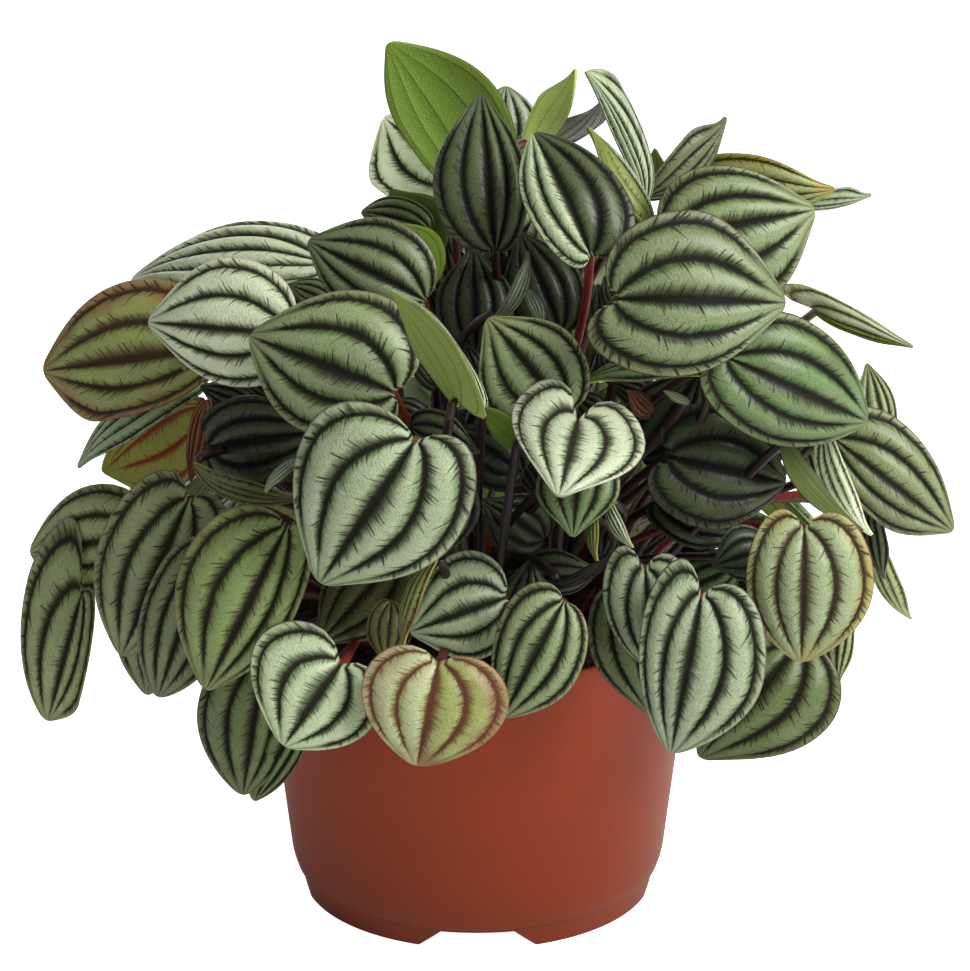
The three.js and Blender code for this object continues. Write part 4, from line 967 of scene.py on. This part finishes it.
def back_leaves():
    """Leaves of the back half, placed tier by tier round the dome with small seeded shifts."""

    def shift(kind, seed):
        return BACK_SHIFTS[kind] * (draw(seed) - 0.5)

    leaves = []
    for tier in BACK_TIERS:
        for i in range(tier["count"]):
            k = len(leaves) + 1
            out = STAGGER * (1 if i % 2 else -1)
            share = (i + 0.5) / tier["count"]
            degrees = tier["from"] + (tier["to"] - tier["from"]) * share + shift("azimuth", k)
            azimuth = math.radians(degrees)
            swing = azimuth + math.radians(shift("swing", k + 50))
            seat_r = tier["seat"][0] + shift("reach", k + 200) + out
            seat_z = tier["seat"][1] + shift("seat_height", k + 100) + out
            tip_r = tier["tip"][0] + shift("reach", k + 250) + out
            tip_z = tier["tip"][1] + shift("tip_height", k + 150) + out
            half = tier["half"] * (0.95 + 0.2 * draw(k + 300))
            other = half * (0.9 + 0.2 * draw(k + 350))
            turn = math.radians(shift("turn", k + 400))
            look = BACK_LOOKS[int(draw(k + 450) * len(BACK_LOOKS))]
            seat_at = (azimuth, seat_r, seat_z)
            tip_at = (swing, tip_r, tip_z)
            leaves.append(outer_leaf(f"B{k:02d}", seat_at, tip_at, (half, other), turn, look))
    return leaves


def side_leaves():
    """Leaves of the two flanks, from their own table."""
    leaves = []
    for i, (seat, tip, half) in enumerate(SIDE_LEAVES):
        look = BACK_LOOKS[i % len(BACK_LOOKS)]
        seat_at, tip_at = ((math.radians(degrees), r, z) for degrees, r, z in (seat, tip))
        leaves.append(outer_leaf(f"S{i + 1:02d}", seat_at, tip_at, (half, half * 0.95), 0.0, look))
    return leaves


def stem_of(leaf):
    """Name of the stem a leaf grows from: a crown stem where its seat stands steeply over the pot axis, else
    the stem of the sector it stands in."""
    if leaf["stem"]:
        return leaf["stem"]
    x, y, z = leaf["seat"]
    if math.degrees(math.atan2(z - CROWN_CENTRE, math.hypot(x, y))) > CROWN_ELEVATION:
        return "crown_left" if x < CROWN_SPLIT else "crown_right"
    azimuth = math.atan2(y, x) % (2 * math.pi)
    return RING_NAMES[int(azimuth * len(RING_NAMES) / (2 * math.pi))]


def stem_places():
    """Foot of each stem on the soil."""
    places = dict(CROWNS)
    for i, name in enumerate(RING_NAMES):
        angle = (i + 0.5) * 2 * math.pi / len(RING_NAMES)
        places[name] = (RING_RADIUS * math.cos(angle), RING_RADIUS * math.sin(angle))
    return places


def roots(leaves, place):
    """Where each petiole leaves its stub: spots on a sunflower spiral, each taken by the leaf that lies in
    its direction."""
    x, y = place
    spots = []
    for i in range(len(leaves)):
        radius = STUB_SPREAD * math.sqrt((i + 0.5) / len(leaves))
        angle = i * GOLDEN_ANGLE
        spot = (x + radius * math.cos(angle), y + radius * math.sin(angle), STUB_TOP - ROOT_DEPTH)
        spots.append(np.array(spot))

    def heading(point):
        return math.atan2(point[1] - y, point[0] - x)

    order = sorted(range(len(leaves)), key=lambda i: heading(leaves[i]["seat"]))
    spots.sort(key=heading)
    starts = [None] * len(leaves)
    for spot, i in zip(spots, order):
        starts[i] = spot
    return starts


# Leaf surfaces

def outline(u, half, at, lobe, blunt):
    """Margin of one half of a blade a unit long: a Bezier curve out round the base lobe to the widest point
    at `at`, then a second one in to the tip, pointed where blunt is 0 and round where it is 1. The very tip
    is rounded by a root of the distance left, which fades. Gives the distances out and along."""
    t1 = np.clip(u / MARGIN_SPLIT, 0, 1)
    t2 = np.clip((u - MARGIN_SPLIT) / (1 - MARGIN_SPLIT), 0, 1)
    lower = u < MARGIN_SPLIT
    pointed = 0.06 + 0.22 * (1 - at)
    near_tip = 1 - pointed + (pointed - 0.13 * (1 - at)) * blunt
    tip_width = (MARGIN_HANDLE + 0.14 * blunt) * half
    base_half = cubic(0, MARGIN_HANDLE * half, half, half, t1)
    out = np.where(lower, base_half, cubic(half, half, tip_width, 0, t2))
    first = cubic(0, -2.3 * lobe, at - 0.75 * (at + lobe), at, t1)
    second = cubic(at, at + (MARGIN_HANDLE + 0.04 * blunt) * (1 - at), near_tip, 1, t2)
    left = 1 - u
    out = out + TIP_ROUND * half * np.sqrt(left) * np.exp(-left / TIP_REACH)
    return out, np.where(lower, first, second)


def blade_surface(leaf, u, v, ribs):
    """Upper face of a blade at u from seat to tip and v across from rim to rim.

    A line of equal v runs from the seat to the tip. The height is an arch along the leaf, less a cup that
    grows with the square of the width, plus ribs that rise with the sine of pi s between the veins, less a
    dimple at the seat and plus a low wave along the rim."""
    length = leaf["length"]
    halves = (leaf["right"], leaf["left"])
    sides = [outline(u, width / length, at, lobe, leaf["blunt"]) for width, at, lobe in halves]
    edge = np.where(v >= 0, sides[0][0], sides[1][0])
    along = np.where(v >= 0, sides[0][1], sides[1][1])
    half = (leaf["right"][0] + leaf["left"][0]) / 2 / length
    a = np.abs(v)
    middle = u ** 1.15
    w = edge * v
    p = w + leaf["bend"] / VIEW_SCALE / length * 4 * middle * (1 - middle)
    q = middle + (along - middle) * a ** 1.7
    s = VEIN_SLOPE * a + VEIN_CURVE * a * a
    furrow = np.abs(np.sin(np.pi * s)) ** 0.75 * (1 - 0.7 * a ** 12)
    phase = 2 * math.pi * draw(len(leaf["name"]) + leaf["seat"][0])
    wave = WAVE * a ** 5 * np.sin(WAVE_RATE * u + phase + 2.0 * np.sign(v)) * np.sin(np.pi * u)
    h = (
        leaf["arch"] * 4 * q * (1 - q)
        - CUP * half * (w / half) ** 2
        + ribs * furrow * np.sin(np.pi * u) ** 0.5 * (1 - u ** 8)
        - DIMPLE * np.exp(-((w / DIMPLE_WIDTH) ** 2) - (q / DIMPLE_WIDTH) ** 2)
        + wave
    )
    local = np.stack([p, q, h], -1) * length
    return leaf["seat"] + local @ np.stack([leaf["across"], leaf["axis"], leaf["up"]])


def vein_spacing(steps):
    """Values of v from rim to rim, with `steps` equal steps of s between veins: a is the root of
    slope a + curve a^2 = s."""
    inner = np.linspace(0, VEIN_LAST, VEIN_LAST * steps + 1)
    s = np.concatenate([inner, VEIN_LAST + (RIM_AT - VEIN_LAST) * np.array(RIM_STEPS)])
    a = (np.sqrt(VEIN_SLOPE ** 2 + 4 * VEIN_CURVE * s) - VEIN_SLOPE) / (2 * VEIN_CURVE)
    return np.concatenate([-a[:0:-1], a])


def leaf_colours(leaf, v, side):
    """Attributes of a blade: each colour of its look times a power of its brightness, which is its own tone
    with painted light and shade, and a number as alpha beside each: seed, bands on the underside, band
    width, rim cover, spots and flush. A leaf with a second look wears it on its right half."""
    seed = draw(sum(ord(c) * (7 + i) for i, c in enumerate(leaf["name"])))
    # Painted light and shade: the leaf's brightness scales all its colours
    light = leaf["tone_and_painted_light"] ** PAINTED_LIGHT_POWER
    rows = []
    for look in (LOOKS[leaf["look"]], LOOKS[leaf["right_look"]]):
        width, flush, spots, through = look[len(COLOUR_NAMES):]
        numbers = (seed, through, width, RIM_COVER, spots, flush)
        rows.append([(*(np.array(srgb(*colour)) * light), number) for colour, number in zip(look, numbers)])
    right = (v > 0).astype(int)
    values = {key: np.array(rows)[right, i] for i, key in enumerate(COLOUR_NAMES)}
    values["facing"] = side
    return values


def turned(radii, heights, count):
    """Rings of points round the Z axis, one for each radius and height: (r cos a, r sin a, z)."""
    angle = np.linspace(0, 2 * math.pi, count, endpoint=False)
    r, z = np.array(radii)[:, None], np.array(heights)[:, None]
    return np.stack([r * np.cos(angle), r * np.sin(angle), z + 0 * angle], -1)


def ring_faces(index):
    """Quads between each ring of point numbers and the next one."""
    nxt = np.roll(index, -1, axis=1)
    return np.stack([index[:-1], nxt[:-1], nxt[1:], index[1:]], -1).reshape(-1, 4)


def closed_faces(rings, sides):
    """Faces of a closed skin over points numbered ring by ring, with one more point before the first ring
    and one behind the last, which come last in the list: quads between the rings and a fan at each end."""
    index = np.arange(rings * sides).reshape(rings, sides)
    fans = []
    for centre, ring in ((rings * sides, index[0]), (rings * sides + 1, index[-1][::-1])):
        fans.append(np.stack([np.full(sides, centre), np.roll(ring, -1), ring], -1))
    return [ring_faces(index), *fans]


def blade_grid(leaf):
    """Values of u and v of a blade's grid: even rows, a little closer towards the tip, and three more close
    to it; across, the same steps between all veins."""
    kind = "far" if leaf["name"].startswith(FAR_INITIALS) else "near"
    if leaf["length"] < SMALL_LENGTH:
        kind = "small"
    rows, steps = BLADE_GRIDS[kind]
    return np.concatenate([np.linspace(0, LAST_EVEN_ROW, rows) ** 0.9, TIP_ROWS]), vein_spacing(steps)


def blade_part(leaf, settings):
    """Closed blade: rings that run over the upper face and back along the underside, drawn in to one point
    at the seat and one at the tip. The underside lies below by a thickness that fades out at the rim."""
    us, vs = blade_grid(leaf)
    u, v = np.meshgrid(us[1:-1], vs, indexing="ij")
    ribs = settings.rib_height * leaf["ribs"]
    top = blade_surface(leaf, u, v, ribs)
    thick = settings.blade_thickness / MM * np.sqrt(1 - np.minimum(np.abs(v), 1) ** 6)
    under = top - thick[..., None] * leaf["up"]
    rings = np.concatenate([top, under[:, -2:0:-1]], axis=1)
    rows, count = rings.shape[:2]
    ends = [blade_surface(leaf, np.array(end), np.array(0.0), ribs) for end in (0.0, 1.0)]
    points = np.concatenate([rings.reshape(-1, 3), ends])

    ring_v = np.tile(np.concatenate([vs, vs[-2:0:-1]]), rows)
    uv = np.stack([np.repeat(us[1:-1], count), ring_v * 0.5 + 0.5], -1)
    uv = np.concatenate([uv, [[0.0, 0.5], [1.0, 0.5]]])
    upper = np.concatenate([np.ones(len(vs)), np.zeros(len(vs) - 2)])
    side = np.concatenate([np.tile(upper, rows), [1.0, 1.0]])
    values = leaf_colours(leaf, uv[:, 1] * 2 - 1, side)
    values["uv"] = uv
    return {"points": points, "faces": closed_faces(rows, count), "values": values}


def tube_part(line, radii, colours, sides):
    """Closed tube along a line of points: rings in the plane square to the line, carried on untwisted."""
    steps = unit(np.gradient(line, axis=0))
    side = unit(np.cross(steps[0], TUBE_SIDE))
    frames = []
    for step in steps:
        side = unit(side - step * (side @ step))
        frames.append((side, np.cross(step, side)))
    a, b = np.array(frames).transpose(1, 0, 2)[:, :, None]
    angle = np.linspace(0, 2 * math.pi, sides, endpoint=False)[:, None]
    rings = line[:, None] + radii[:, None, None] * (a * np.cos(angle) + b * np.sin(angle))
    count = len(line)
    points = np.concatenate([rings.reshape(-1, 3), line[:1], line[-1:]])

    along = np.repeat(np.linspace(0, 1, count), sides)
    around = np.tile(np.arange(sides) / sides, count)
    values = dict.fromkeys(COLOUR_NAMES, np.zeros((len(points), 4)))
    values["panel"] = np.concatenate([np.repeat(colours, sides, axis=0), colours[:1], colours[-1:]])
    values["facing"] = np.zeros(len(points))
    values["uv"] = np.concatenate([np.stack([along, around], -1), [[0.0, 0.0], [1.0, 0.0]]])
    return {"points": points, "faces": closed_faces(count, sides), "values": values}


def petiole_part(leaf, start, settings):
    """Petiole: a cubic Bezier curve that climbs out of the stub and hooks over into the seat of the blade
    from below. It swells at its root and narrows at its very end. Its skin is darkened as painted shade,
    most at the root and less towards a lighter neck, and scaled by the leaf's stalk brightness, which is
    painted light and shade. A few petioles are green instead of red."""
    p = PETIOLE
    under = DIMPLE * leaf["length"] + p["clear"]
    end = leaf["seat"] - (under + p["drop"]) * leaf["up"] + p["ahead"] * leaf["axis"]
    reach = end - start
    span = np.linalg.norm(reach)
    hook = p["hook"] * leaf["hook"]
    arrive = unit((1 - hook) * unit(reach) + hook * leaf["up"])
    lean = np.array([p["lean"] * reach[0], p["lean"] * reach[1], p["rise"] * leaf["hook"] * span])
    t = np.linspace(0, 1, p["rows"])[:, None]
    line = cubic(start, start + lean, end - arrive * p["bend"] * span, end, t)
    line = np.concatenate([line, [leaf["seat"] - under * leaf["up"] + leaf["axis"]]])
    t = np.linspace(0, 1, len(line))
    radii = p["root"] + (p["neck"] - p["root"]) * t
    radii = radii + p["swell"] * np.exp(-((t / p["root_share"]) ** 2))
    radii = radii * (1 - p["swell"] * np.exp(-(((t - 1) / p["neck_share"]) ** 2)))
    seed = draw(sum(ord(c) * (3 + i) for i, c in enumerate(leaf["name"])) + 5)
    mix = GREEN_IN_GREEN if seed > RED_SHARE else GREEN_IN_RED * seed
    skin = np.array(settings.stalk_colour) * (1 - mix) + np.array(PETIOLE_GREEN) * mix
    # Painted light and shade: a low tone times the leaf's stalk brightness, darker towards the root
    tone = (0.16 + 0.2 * seed) * leaf["stalk"]
    colours = np.column_stack([np.outer(0.6 + 0.55 * t, skin * tone), np.full(len(line), seed)])
    return tube_part(line, np.maximum(radii, p["least"]), colours, p["sides"])


def stub_part(place, settings):
    """Stub of a stem: a short upright knob with a domed top."""
    z, radii = np.array(STUB_RINGS).T
    line = np.stack([np.full(len(z), place[0]), np.full(len(z), place[1]), z], -1)
    skin = np.array(settings.stalk_colour) * STUB_TONE
    colours = np.tile([*skin, draw(place[0])], (len(z), 1))
    return tube_part(line, radii, colours, STUB_SIDES)


# Pot and soil surfaces

def rounded(profile):
    """Closed profile with its corners rounded: each becomes a quadratic curve between two points on its
    sides, which lie the corner radius away from it. A corner of radius 0 stays."""
    out = []
    count = len(profile)
    for i, (r, z, radius) in enumerate(profile):
        here = np.array([r, z])
        if radius == 0:
            out.append(here)
            continue
        before = np.array(profile[i - 1][:2]) - here
        after = np.array(profile[(i + 1) % count][:2]) - here
        reach = min(radius, 0.45 * np.linalg.norm(before), 0.45 * np.linalg.norm(after))
        start = here + unit(before) * reach
        stop = here + unit(after) * reach
        t = np.linspace(0, 1, CORNER_STEPS)[:, None]
        out += list((1 - t) ** 2 * start + 2 * t * (1 - t) * here + t ** 2 * stop)
    return np.array(out)


def revolve(profile, segments):
    """Closed surface of revolution from a closed profile that may touch the axis, where points that fall
    together are merged afterwards."""
    index = np.arange(len(profile) * segments).reshape(len(profile), segments)
    return turned(*profile.T, segments).reshape(-1, 3), ring_faces(np.concatenate([index, index[:1]]))


def prism(corners, low, high):
    """Closed prism between two heights over a ring of (x, y) corners given counter-clockwise."""
    count = len(corners)
    ring = np.array(corners)
    points = np.concatenate([np.column_stack([ring, np.full(count, z)]) for z in (low, high)])
    index = np.arange(count)
    nxt = np.roll(index, -1)
    sides = np.stack([index, nxt, nxt + count, index + count], -1)
    return points, [sides, index[::-1][None], (index + count)[None]]


def merge_doubles(made):
    """Merges points that fall together and drops faces that have closed up."""
    mesh = bmesh.new()
    mesh.from_mesh(made.data)
    bmesh.ops.remove_doubles(mesh, verts=mesh.verts, dist=1e-7)
    bmesh.ops.recalc_face_normals(mesh, faces=mesh.faces)
    mesh.to_mesh(made.data)
    mesh.free()


def cut_away(made, cutters):
    """Cuts closed cutters out of a piece, then removes them."""
    for cutter in cutters:
        change = made.modifiers.new("cut", "BOOLEAN")
        change.operation = "DIFFERENCE"
        change.solver = "EXACT"
        change.object = cutter
    graph = bpy.context.evaluated_depsgraph_get()
    finished = bpy.data.meshes.new_from_object(made.evaluated_get(graph))
    made.modifiers.clear()
    made.data = finished
    for cutter in cutters:
        bpy.data.objects.remove(cutter)


# Settings

class PotSettings(PropertyGroup):
    """Sizes and colour of the pot."""
    segments: IntProperty(name="Segments", description="Facets round the pot", default=240, min=24)
    colour: FloatVectorProperty(
        name="Pot colour", description="Colour of the moulded plastic", subtype="COLOR", size=3,
        min=0, max=1, default=srgb(134, 47, 12))


class SoilSettings(PropertyGroup):
    """Look of the soil."""
    crumbs: IntProperty(name="Crumbs", description="Loose crumbs on the soil", default=420, min=0)
    colour: FloatVectorProperty(
        name="Soil colour", description="Colour of the moist soil", subtype="COLOR", size=3,
        min=0, max=1, default=srgb(38, 28, 22))


class FoliageSettings(PropertyGroup):
    """Form and colour of leaves and stalks."""
    blade_thickness: FloatProperty(
        name="Blade thickness", description="Thickness of a leaf along its midrib", default=0.0009,
        min=0.0002, unit="LENGTH")
    rib_height: FloatProperty(
        name="Rib height", description="Height of the ribs between the veins, as a share of the leaf length",
        default=0.035, min=0, max=0.1)
    roughness: FloatProperty(
        name="Blade roughness", description="Roughness of the panels", default=0.45, min=0, max=1)
    stalk_colour: FloatVectorProperty(
        name="Stalk colour", description="Colour of the petioles", subtype="COLOR", size=3,
        min=0, max=1, default=srgb(138, 40, 34))


class StageSettings(PropertyGroup):
    """Floor, light and background."""
    key_power: FloatProperty(
        name="Key light", description="Power of the key light", default=10.0, min=0, unit="POWER")
    fill_power: FloatProperty(
        name="Fill light", description="Power of the fill light", default=0.4, min=0, unit="POWER")
    back_power: FloatProperty(
        name="Back light", description="Power of the back light", default=2.5, min=0, unit="POWER")
    sky: FloatProperty(
        name="Background light", description="Strength of the white surroundings", default=0.27, min=0)
    floor_colour: FloatVectorProperty(
        name="Floor colour", description="Colour of the floor", subtype="COLOR", size=3,
        min=0, max=1, default=(0.9, 0.9, 0.9))


# Operators

class PEPEROMIA_OT_pot(Operator):
    """Build the thin pot with its rim band, base step, notches and drain holes"""
    bl_idname = "peperomia.pot"
    bl_label = "Pot"

    def execute(self, context):
        settings = context.scene.peperomia_pot
        points, quads = revolve(rounded(POT_PROFILE), settings.segments)
        material = pot_material(shared_grain(), tuple(settings.colour))
        pot = make_object("pot_body", points, [quads], [material])
        merge_doubles(pot)
        cutters = [self.notch(i * 2 * math.pi / NOTCH["count"]) for i in range(NOTCH["count"])]
        cutters += [self.drain((i + 0.5) * 2 * math.pi / DRAIN["count"]) for i in range(DRAIN["count"])]
        cut_away(pot, cutters)
        pot.data.set_sharp_from_angle(angle=SHARP_EDGE)
        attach(pot, "root")
        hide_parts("pot")
        return {"FINISHED"}

    def notch(self, angle):
        """Wedge that cuts a trapezoid bite out of the base ring at an angle."""
        low, high = NOTCH["base"] / 2, NOTCH["top"] / 2
        bottom, height = NOTCH["bottom"], NOTCH["height"]
        face = [(-low, bottom), (low, bottom), (high, height), (-high, height)]
        points, faces = prism(face, NOTCH["inner"], NOTCH["outer"])
        x, up, out = points.T
        placed = np.column_stack([
            x * math.cos(angle) + out * math.sin(angle),
            x * math.sin(angle) - out * math.cos(angle),
            up])
        return make_object("cutter", placed, faces, [])

    def drain(self, angle):
        """Round plug that cuts a drain hole through the floor at an angle."""
        centre = DRAIN["at"] * np.array([math.cos(angle), math.sin(angle)])
        corners = centre + turned([DRAIN["radius"]], [0.0], DRAIN["sides"])[0, :, :2]
        return make_object("cutter", *prism(corners, DRAIN["bottom"], DRAIN["top"]), [])


class PEPEROMIA_OT_soil(Operator):
    """Build the lumpy soil with its loose crumbs"""
    bl_idname = "peperomia.soil"
    bl_label = "Soil"

    def execute(self, context):
        settings = context.scene.peperomia_soil
        crumbs = [self.crumb(i) for i in range(settings.crumbs)]
        points, faces, _ = collect([self.body(), *crumbs])
        material = soil_material(shared_grain(), tuple(settings.colour))
        soil = make_object("soil_body", points, faces, [material])
        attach(soil, "root")
        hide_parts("soil")
        return {"FINISHED"}

    def body(self):
        """Disc: two rings up the wall, then rings in to the middle, raised by noise of two sizes."""
        inner = np.linspace(SOIL_RADIUS - SOIL_EDGE, SOIL_EDGE, SOIL_RINGS)
        radii = np.concatenate([[SOIL_FOOT_RADIUS, SOIL_RADIUS], inner])
        wall = [SOIL_BOTTOM, SOIL_LEVEL - SOIL_WALL_DROP]
        grid = turned(radii, np.concatenate([wall, np.full(SOIL_RINGS, SOIL_LEVEL)]), SOIL_SECTORS)
        flat = grid[2:].reshape(-1, 3)
        lumps = sum(height * (smooth_noise(flat, seed, width) - 0.5) for height, seed, width in LUMPS)
        grid[2:, :, 2] += lumps.reshape(SOIL_RINGS, SOIL_SECTORS)
        ends = [[0.0, 0.0, SOIL_BOTTOM], [0.0, 0.0, grid[-1, :, 2].mean()]]
        points = np.concatenate([grid.reshape(-1, 3), ends])
        return {"points": points, "faces": closed_faces(len(radii), SOIL_SECTORS), "values": {}}

    def crumb(self, i):
        """Crumb: a small ball of four rings and two poles, its radius varied by noise, set on the soil."""
        angle = 2 * math.pi * draw(i + 1000)
        radius = CRUMB["reach"] * math.sqrt(draw(i + 2000))
        size = CRUMB["least"] + CRUMB["more"] * draw(i + 3000) ** 2
        rise = np.linspace(-1.1, 1.1, CRUMB["rings"])
        rings = turned(np.cos(rise), np.sin(rise), CRUMB["sides"]).reshape(-1, 3)
        ball = np.concatenate([rings, [[0, 0, -1.0], [0, 0, 1.0]]])
        ball *= (0.75 + 0.5 * smooth_noise(ball * 3.0 + i, 9, 1.0))[:, None]
        place = np.array([radius * math.cos(angle), radius * math.sin(angle), SOIL_LEVEL + 0.5 * size])
        faces = closed_faces(CRUMB["rings"], CRUMB["sides"])
        return {"points": ball * size + place, "faces": faces, "values": {}}


class PEPEROMIA_OT_foliage(Operator):
    """Build the twelve leafy stems, with stub, petioles and furrowed blades, and the leaves between them"""
    bl_idname = "peperomia.foliage"
    bl_label = "Leafy stems"

    def execute(self, context):
        settings = context.scene.peperomia_foliage
        grain = shared_grain()
        materials = [blade_material(grain, vein_group(), settings.roughness), stalk_material(grain)]
        leaves = seen_leaves(FRONT_LEAVES) + back_leaves() + side_leaves()
        places = stem_places()
        for name, place in places.items():
            own = [leaf for leaf in leaves if stem_of(leaf) == name]
            blades = [blade_part(leaf, settings) for leaf in own]
            stalks = [petiole_part(leaf, start, settings) for leaf, start in zip(own, roots(own, place))]
            stem = self.stem("foliage_" + name, blades, [*stalks, stub_part(place, settings)], materials)
            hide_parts("leafy_stem_" + name)
        inner = seen_leaves([*shaded_rows(), *INNER_LEAVES])
        blades = [blade_part(leaf, settings) for leaf in inner]
        feet = [np.array([*places[stem_of(leaf)], STUB_TOP - INNER_ROOT_DEPTH]) for leaf in inner]
        stalks = [petiole_part(leaf, foot, settings) for leaf, foot in zip(inner, feet)]
        self.stem("foliage_inner", blades, stalks, materials)
        return {"FINISHED"}

    def stem(self, name, blades, stalks, materials):
        """One piece from blades and stalks, with the UV map and the attributes that the materials read."""
        points, faces, values = collect([*blades, *stalks])
        blade_faces = sum(len(block) for part in blades for block in part["faces"])
        slots = (np.arange(sum(len(block) for block in faces)) >= blade_faces).astype(int)
        stem = make_object(name, points, faces, materials, slots)
        set_uv(stem.data, "leaf", values["uv"])
        for key in COLOUR_NAMES:
            set_colours(stem.data, key, values[key])
        facing = stem.data.attributes.new("facing", "FLOAT", "POINT")
        facing.data.foreach_set("value", values["facing"].astype(np.float32))
        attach(stem, "root")
        return stem


class PEPEROMIA_OT_stage(Operator):
    """Set the floor, the soft lights and the camera"""
    bl_idname = "peperomia.stage"
    bl_label = "Stage"

    def execute(self, context):
        scene = context.scene
        settings = scene.peperomia_stage
        scene.view_settings.view_transform = "Standard"
        world = bpy.data.worlds.new("studio")
        world.use_nodes = True
        background = world.node_tree.nodes["Background"]
        background.inputs["Color"].default_value = (1.0, 1.0, 1.0, 1.0)
        g = Graph(world.node_tree)
        direct = g.node("ShaderNodeLightPath").outputs["Is Camera Ray"]
        g.feed(background.inputs["Strength"], g.step(direct, 0.0, 1.0, settings.sky, 1.0))
        scene.world = world
        self.floor(settings)
        for name, (place, side) in LIGHTS.items():
            self.light(name, place, side, getattr(settings, name + "_power"))
        self.camera(scene)
        return {"FINISHED"}

    def floor(self, settings):
        """Flat square floor, wide enough to fill every view."""
        material, g, shader = new_material("floor_paper")
        tone = g.noise(g.place(), scale=3.0, detail=1.0)
        colour = g.scaled(tuple(settings.floor_colour), g.math("MULTIPLY_ADD", tone, 0.02, 0.99))
        g.feed(shader["Base Color"], colour)
        shader["Roughness"].default_value = 0.8
        shader["Emission Color"].default_value = (1.0, 1.0, 1.0, 1.0)
        direct = g.node("ShaderNodeLightPath").outputs["Is Camera Ray"]
        g.feed(shader["Emission Strength"], direct)
        points = FLOOR_REACH * np.array([[-1, -1, 0], [1, -1, 0], [1, 1, 0], [-1, 1, 0]])
        make_object("floor", points, [np.array([[0, 1, 2, 3]])], [material])

    def light(self, name, place, side, power):
        """Square area light, in millimetres, aimed at the middle of the plant."""
        lamp = bpy.data.lights.new(name, "AREA")
        lamp.size = side * MM
        lamp.energy = power
        made = bpy.data.objects.new(name, lamp)
        made.location = [c * MM for c in place]
        made.rotation_euler = self.aim(np.array(place, float), LIGHT_AIM)
        bpy.context.scene.collection.objects.link(made)

    def aim(self, place, target):
        """Euler angles that turn -Z from place towards target: tilt from straight down, then turn."""
        x, y, z = target - place
        return (math.acos(-z / math.sqrt(x * x + y * y + z * z)), 0.0, math.atan2(y, x) - math.pi / 2)

    def camera(self, scene):
        """Camera at the standpoint of the picture: its focal length is the distance times the scale there,
        as a share of the frame."""
        lens = bpy.data.cameras.new("view")
        lens.sensor_width = SENSOR_WIDTH
        lens.lens = VIEW_DISTANCE * VIEW_SCALE * SENSOR_WIDTH / max(FRAME_SIZE)
        lens.clip_start = 0.05
        lens.clip_end = 50.0
        made = bpy.data.objects.new("view", lens)
        made.location = VIEW_EYE * MM
        made.rotation_euler = (math.pi / 2 - VIEW_PITCH, 0.0, 0.0)
        scene.collection.objects.link(made)
        scene.camera = made


class PEPEROMIA_PT_panel(Panel):
    """Sidebar panel that lists the settings and the builders"""
    bl_label = "Potted peperomia"
    bl_idname = "PEPEROMIA_PT_panel"
    bl_space_type = "VIEW_3D"
    bl_region_type = "UI"
    bl_category = "Peperomia"

    def draw(self, context):
        layout = self.layout
        for prefix, (kind, builder) in SECTIONS.items():
            box = layout.box()
            settings = getattr(context.scene, "peperomia_" + prefix)
            for key in kind.__annotations__:
                box.prop(settings, key)
            box.operator(builder.bl_idname)


SECTIONS = {
    "pot": (PotSettings, PEPEROMIA_OT_pot),
    "soil": (SoilSettings, PEPEROMIA_OT_soil),
    "foliage": (FoliageSettings, PEPEROMIA_OT_foliage),
    "stage": (StageSettings, PEPEROMIA_OT_stage),
}


def register():
    for prefix, (kind, builder) in SECTIONS.items():
        bpy.utils.register_class(kind)
        bpy.utils.register_class(builder)
        setattr(bpy.types.Scene, "peperomia_" + prefix, PointerProperty(type=kind))
    bpy.utils.register_class(PEPEROMIA_PT_panel)


def unregister():
    bpy.utils.unregister_class(PEPEROMIA_PT_panel)
    for prefix, (kind, builder) in reversed(SECTIONS.items()):
        delattr(bpy.types.Scene, "peperomia_" + prefix)
        bpy.utils.unregister_class(builder)
        bpy.utils.unregister_class(kind)


def main():
    """Builds every piece in order."""
    register()
    bpy.ops.peperomia.pot()
    bpy.ops.peperomia.soil()
    bpy.ops.peperomia.foliage()
    bpy.ops.peperomia.stage()


if __name__ == "__main__":
    main()
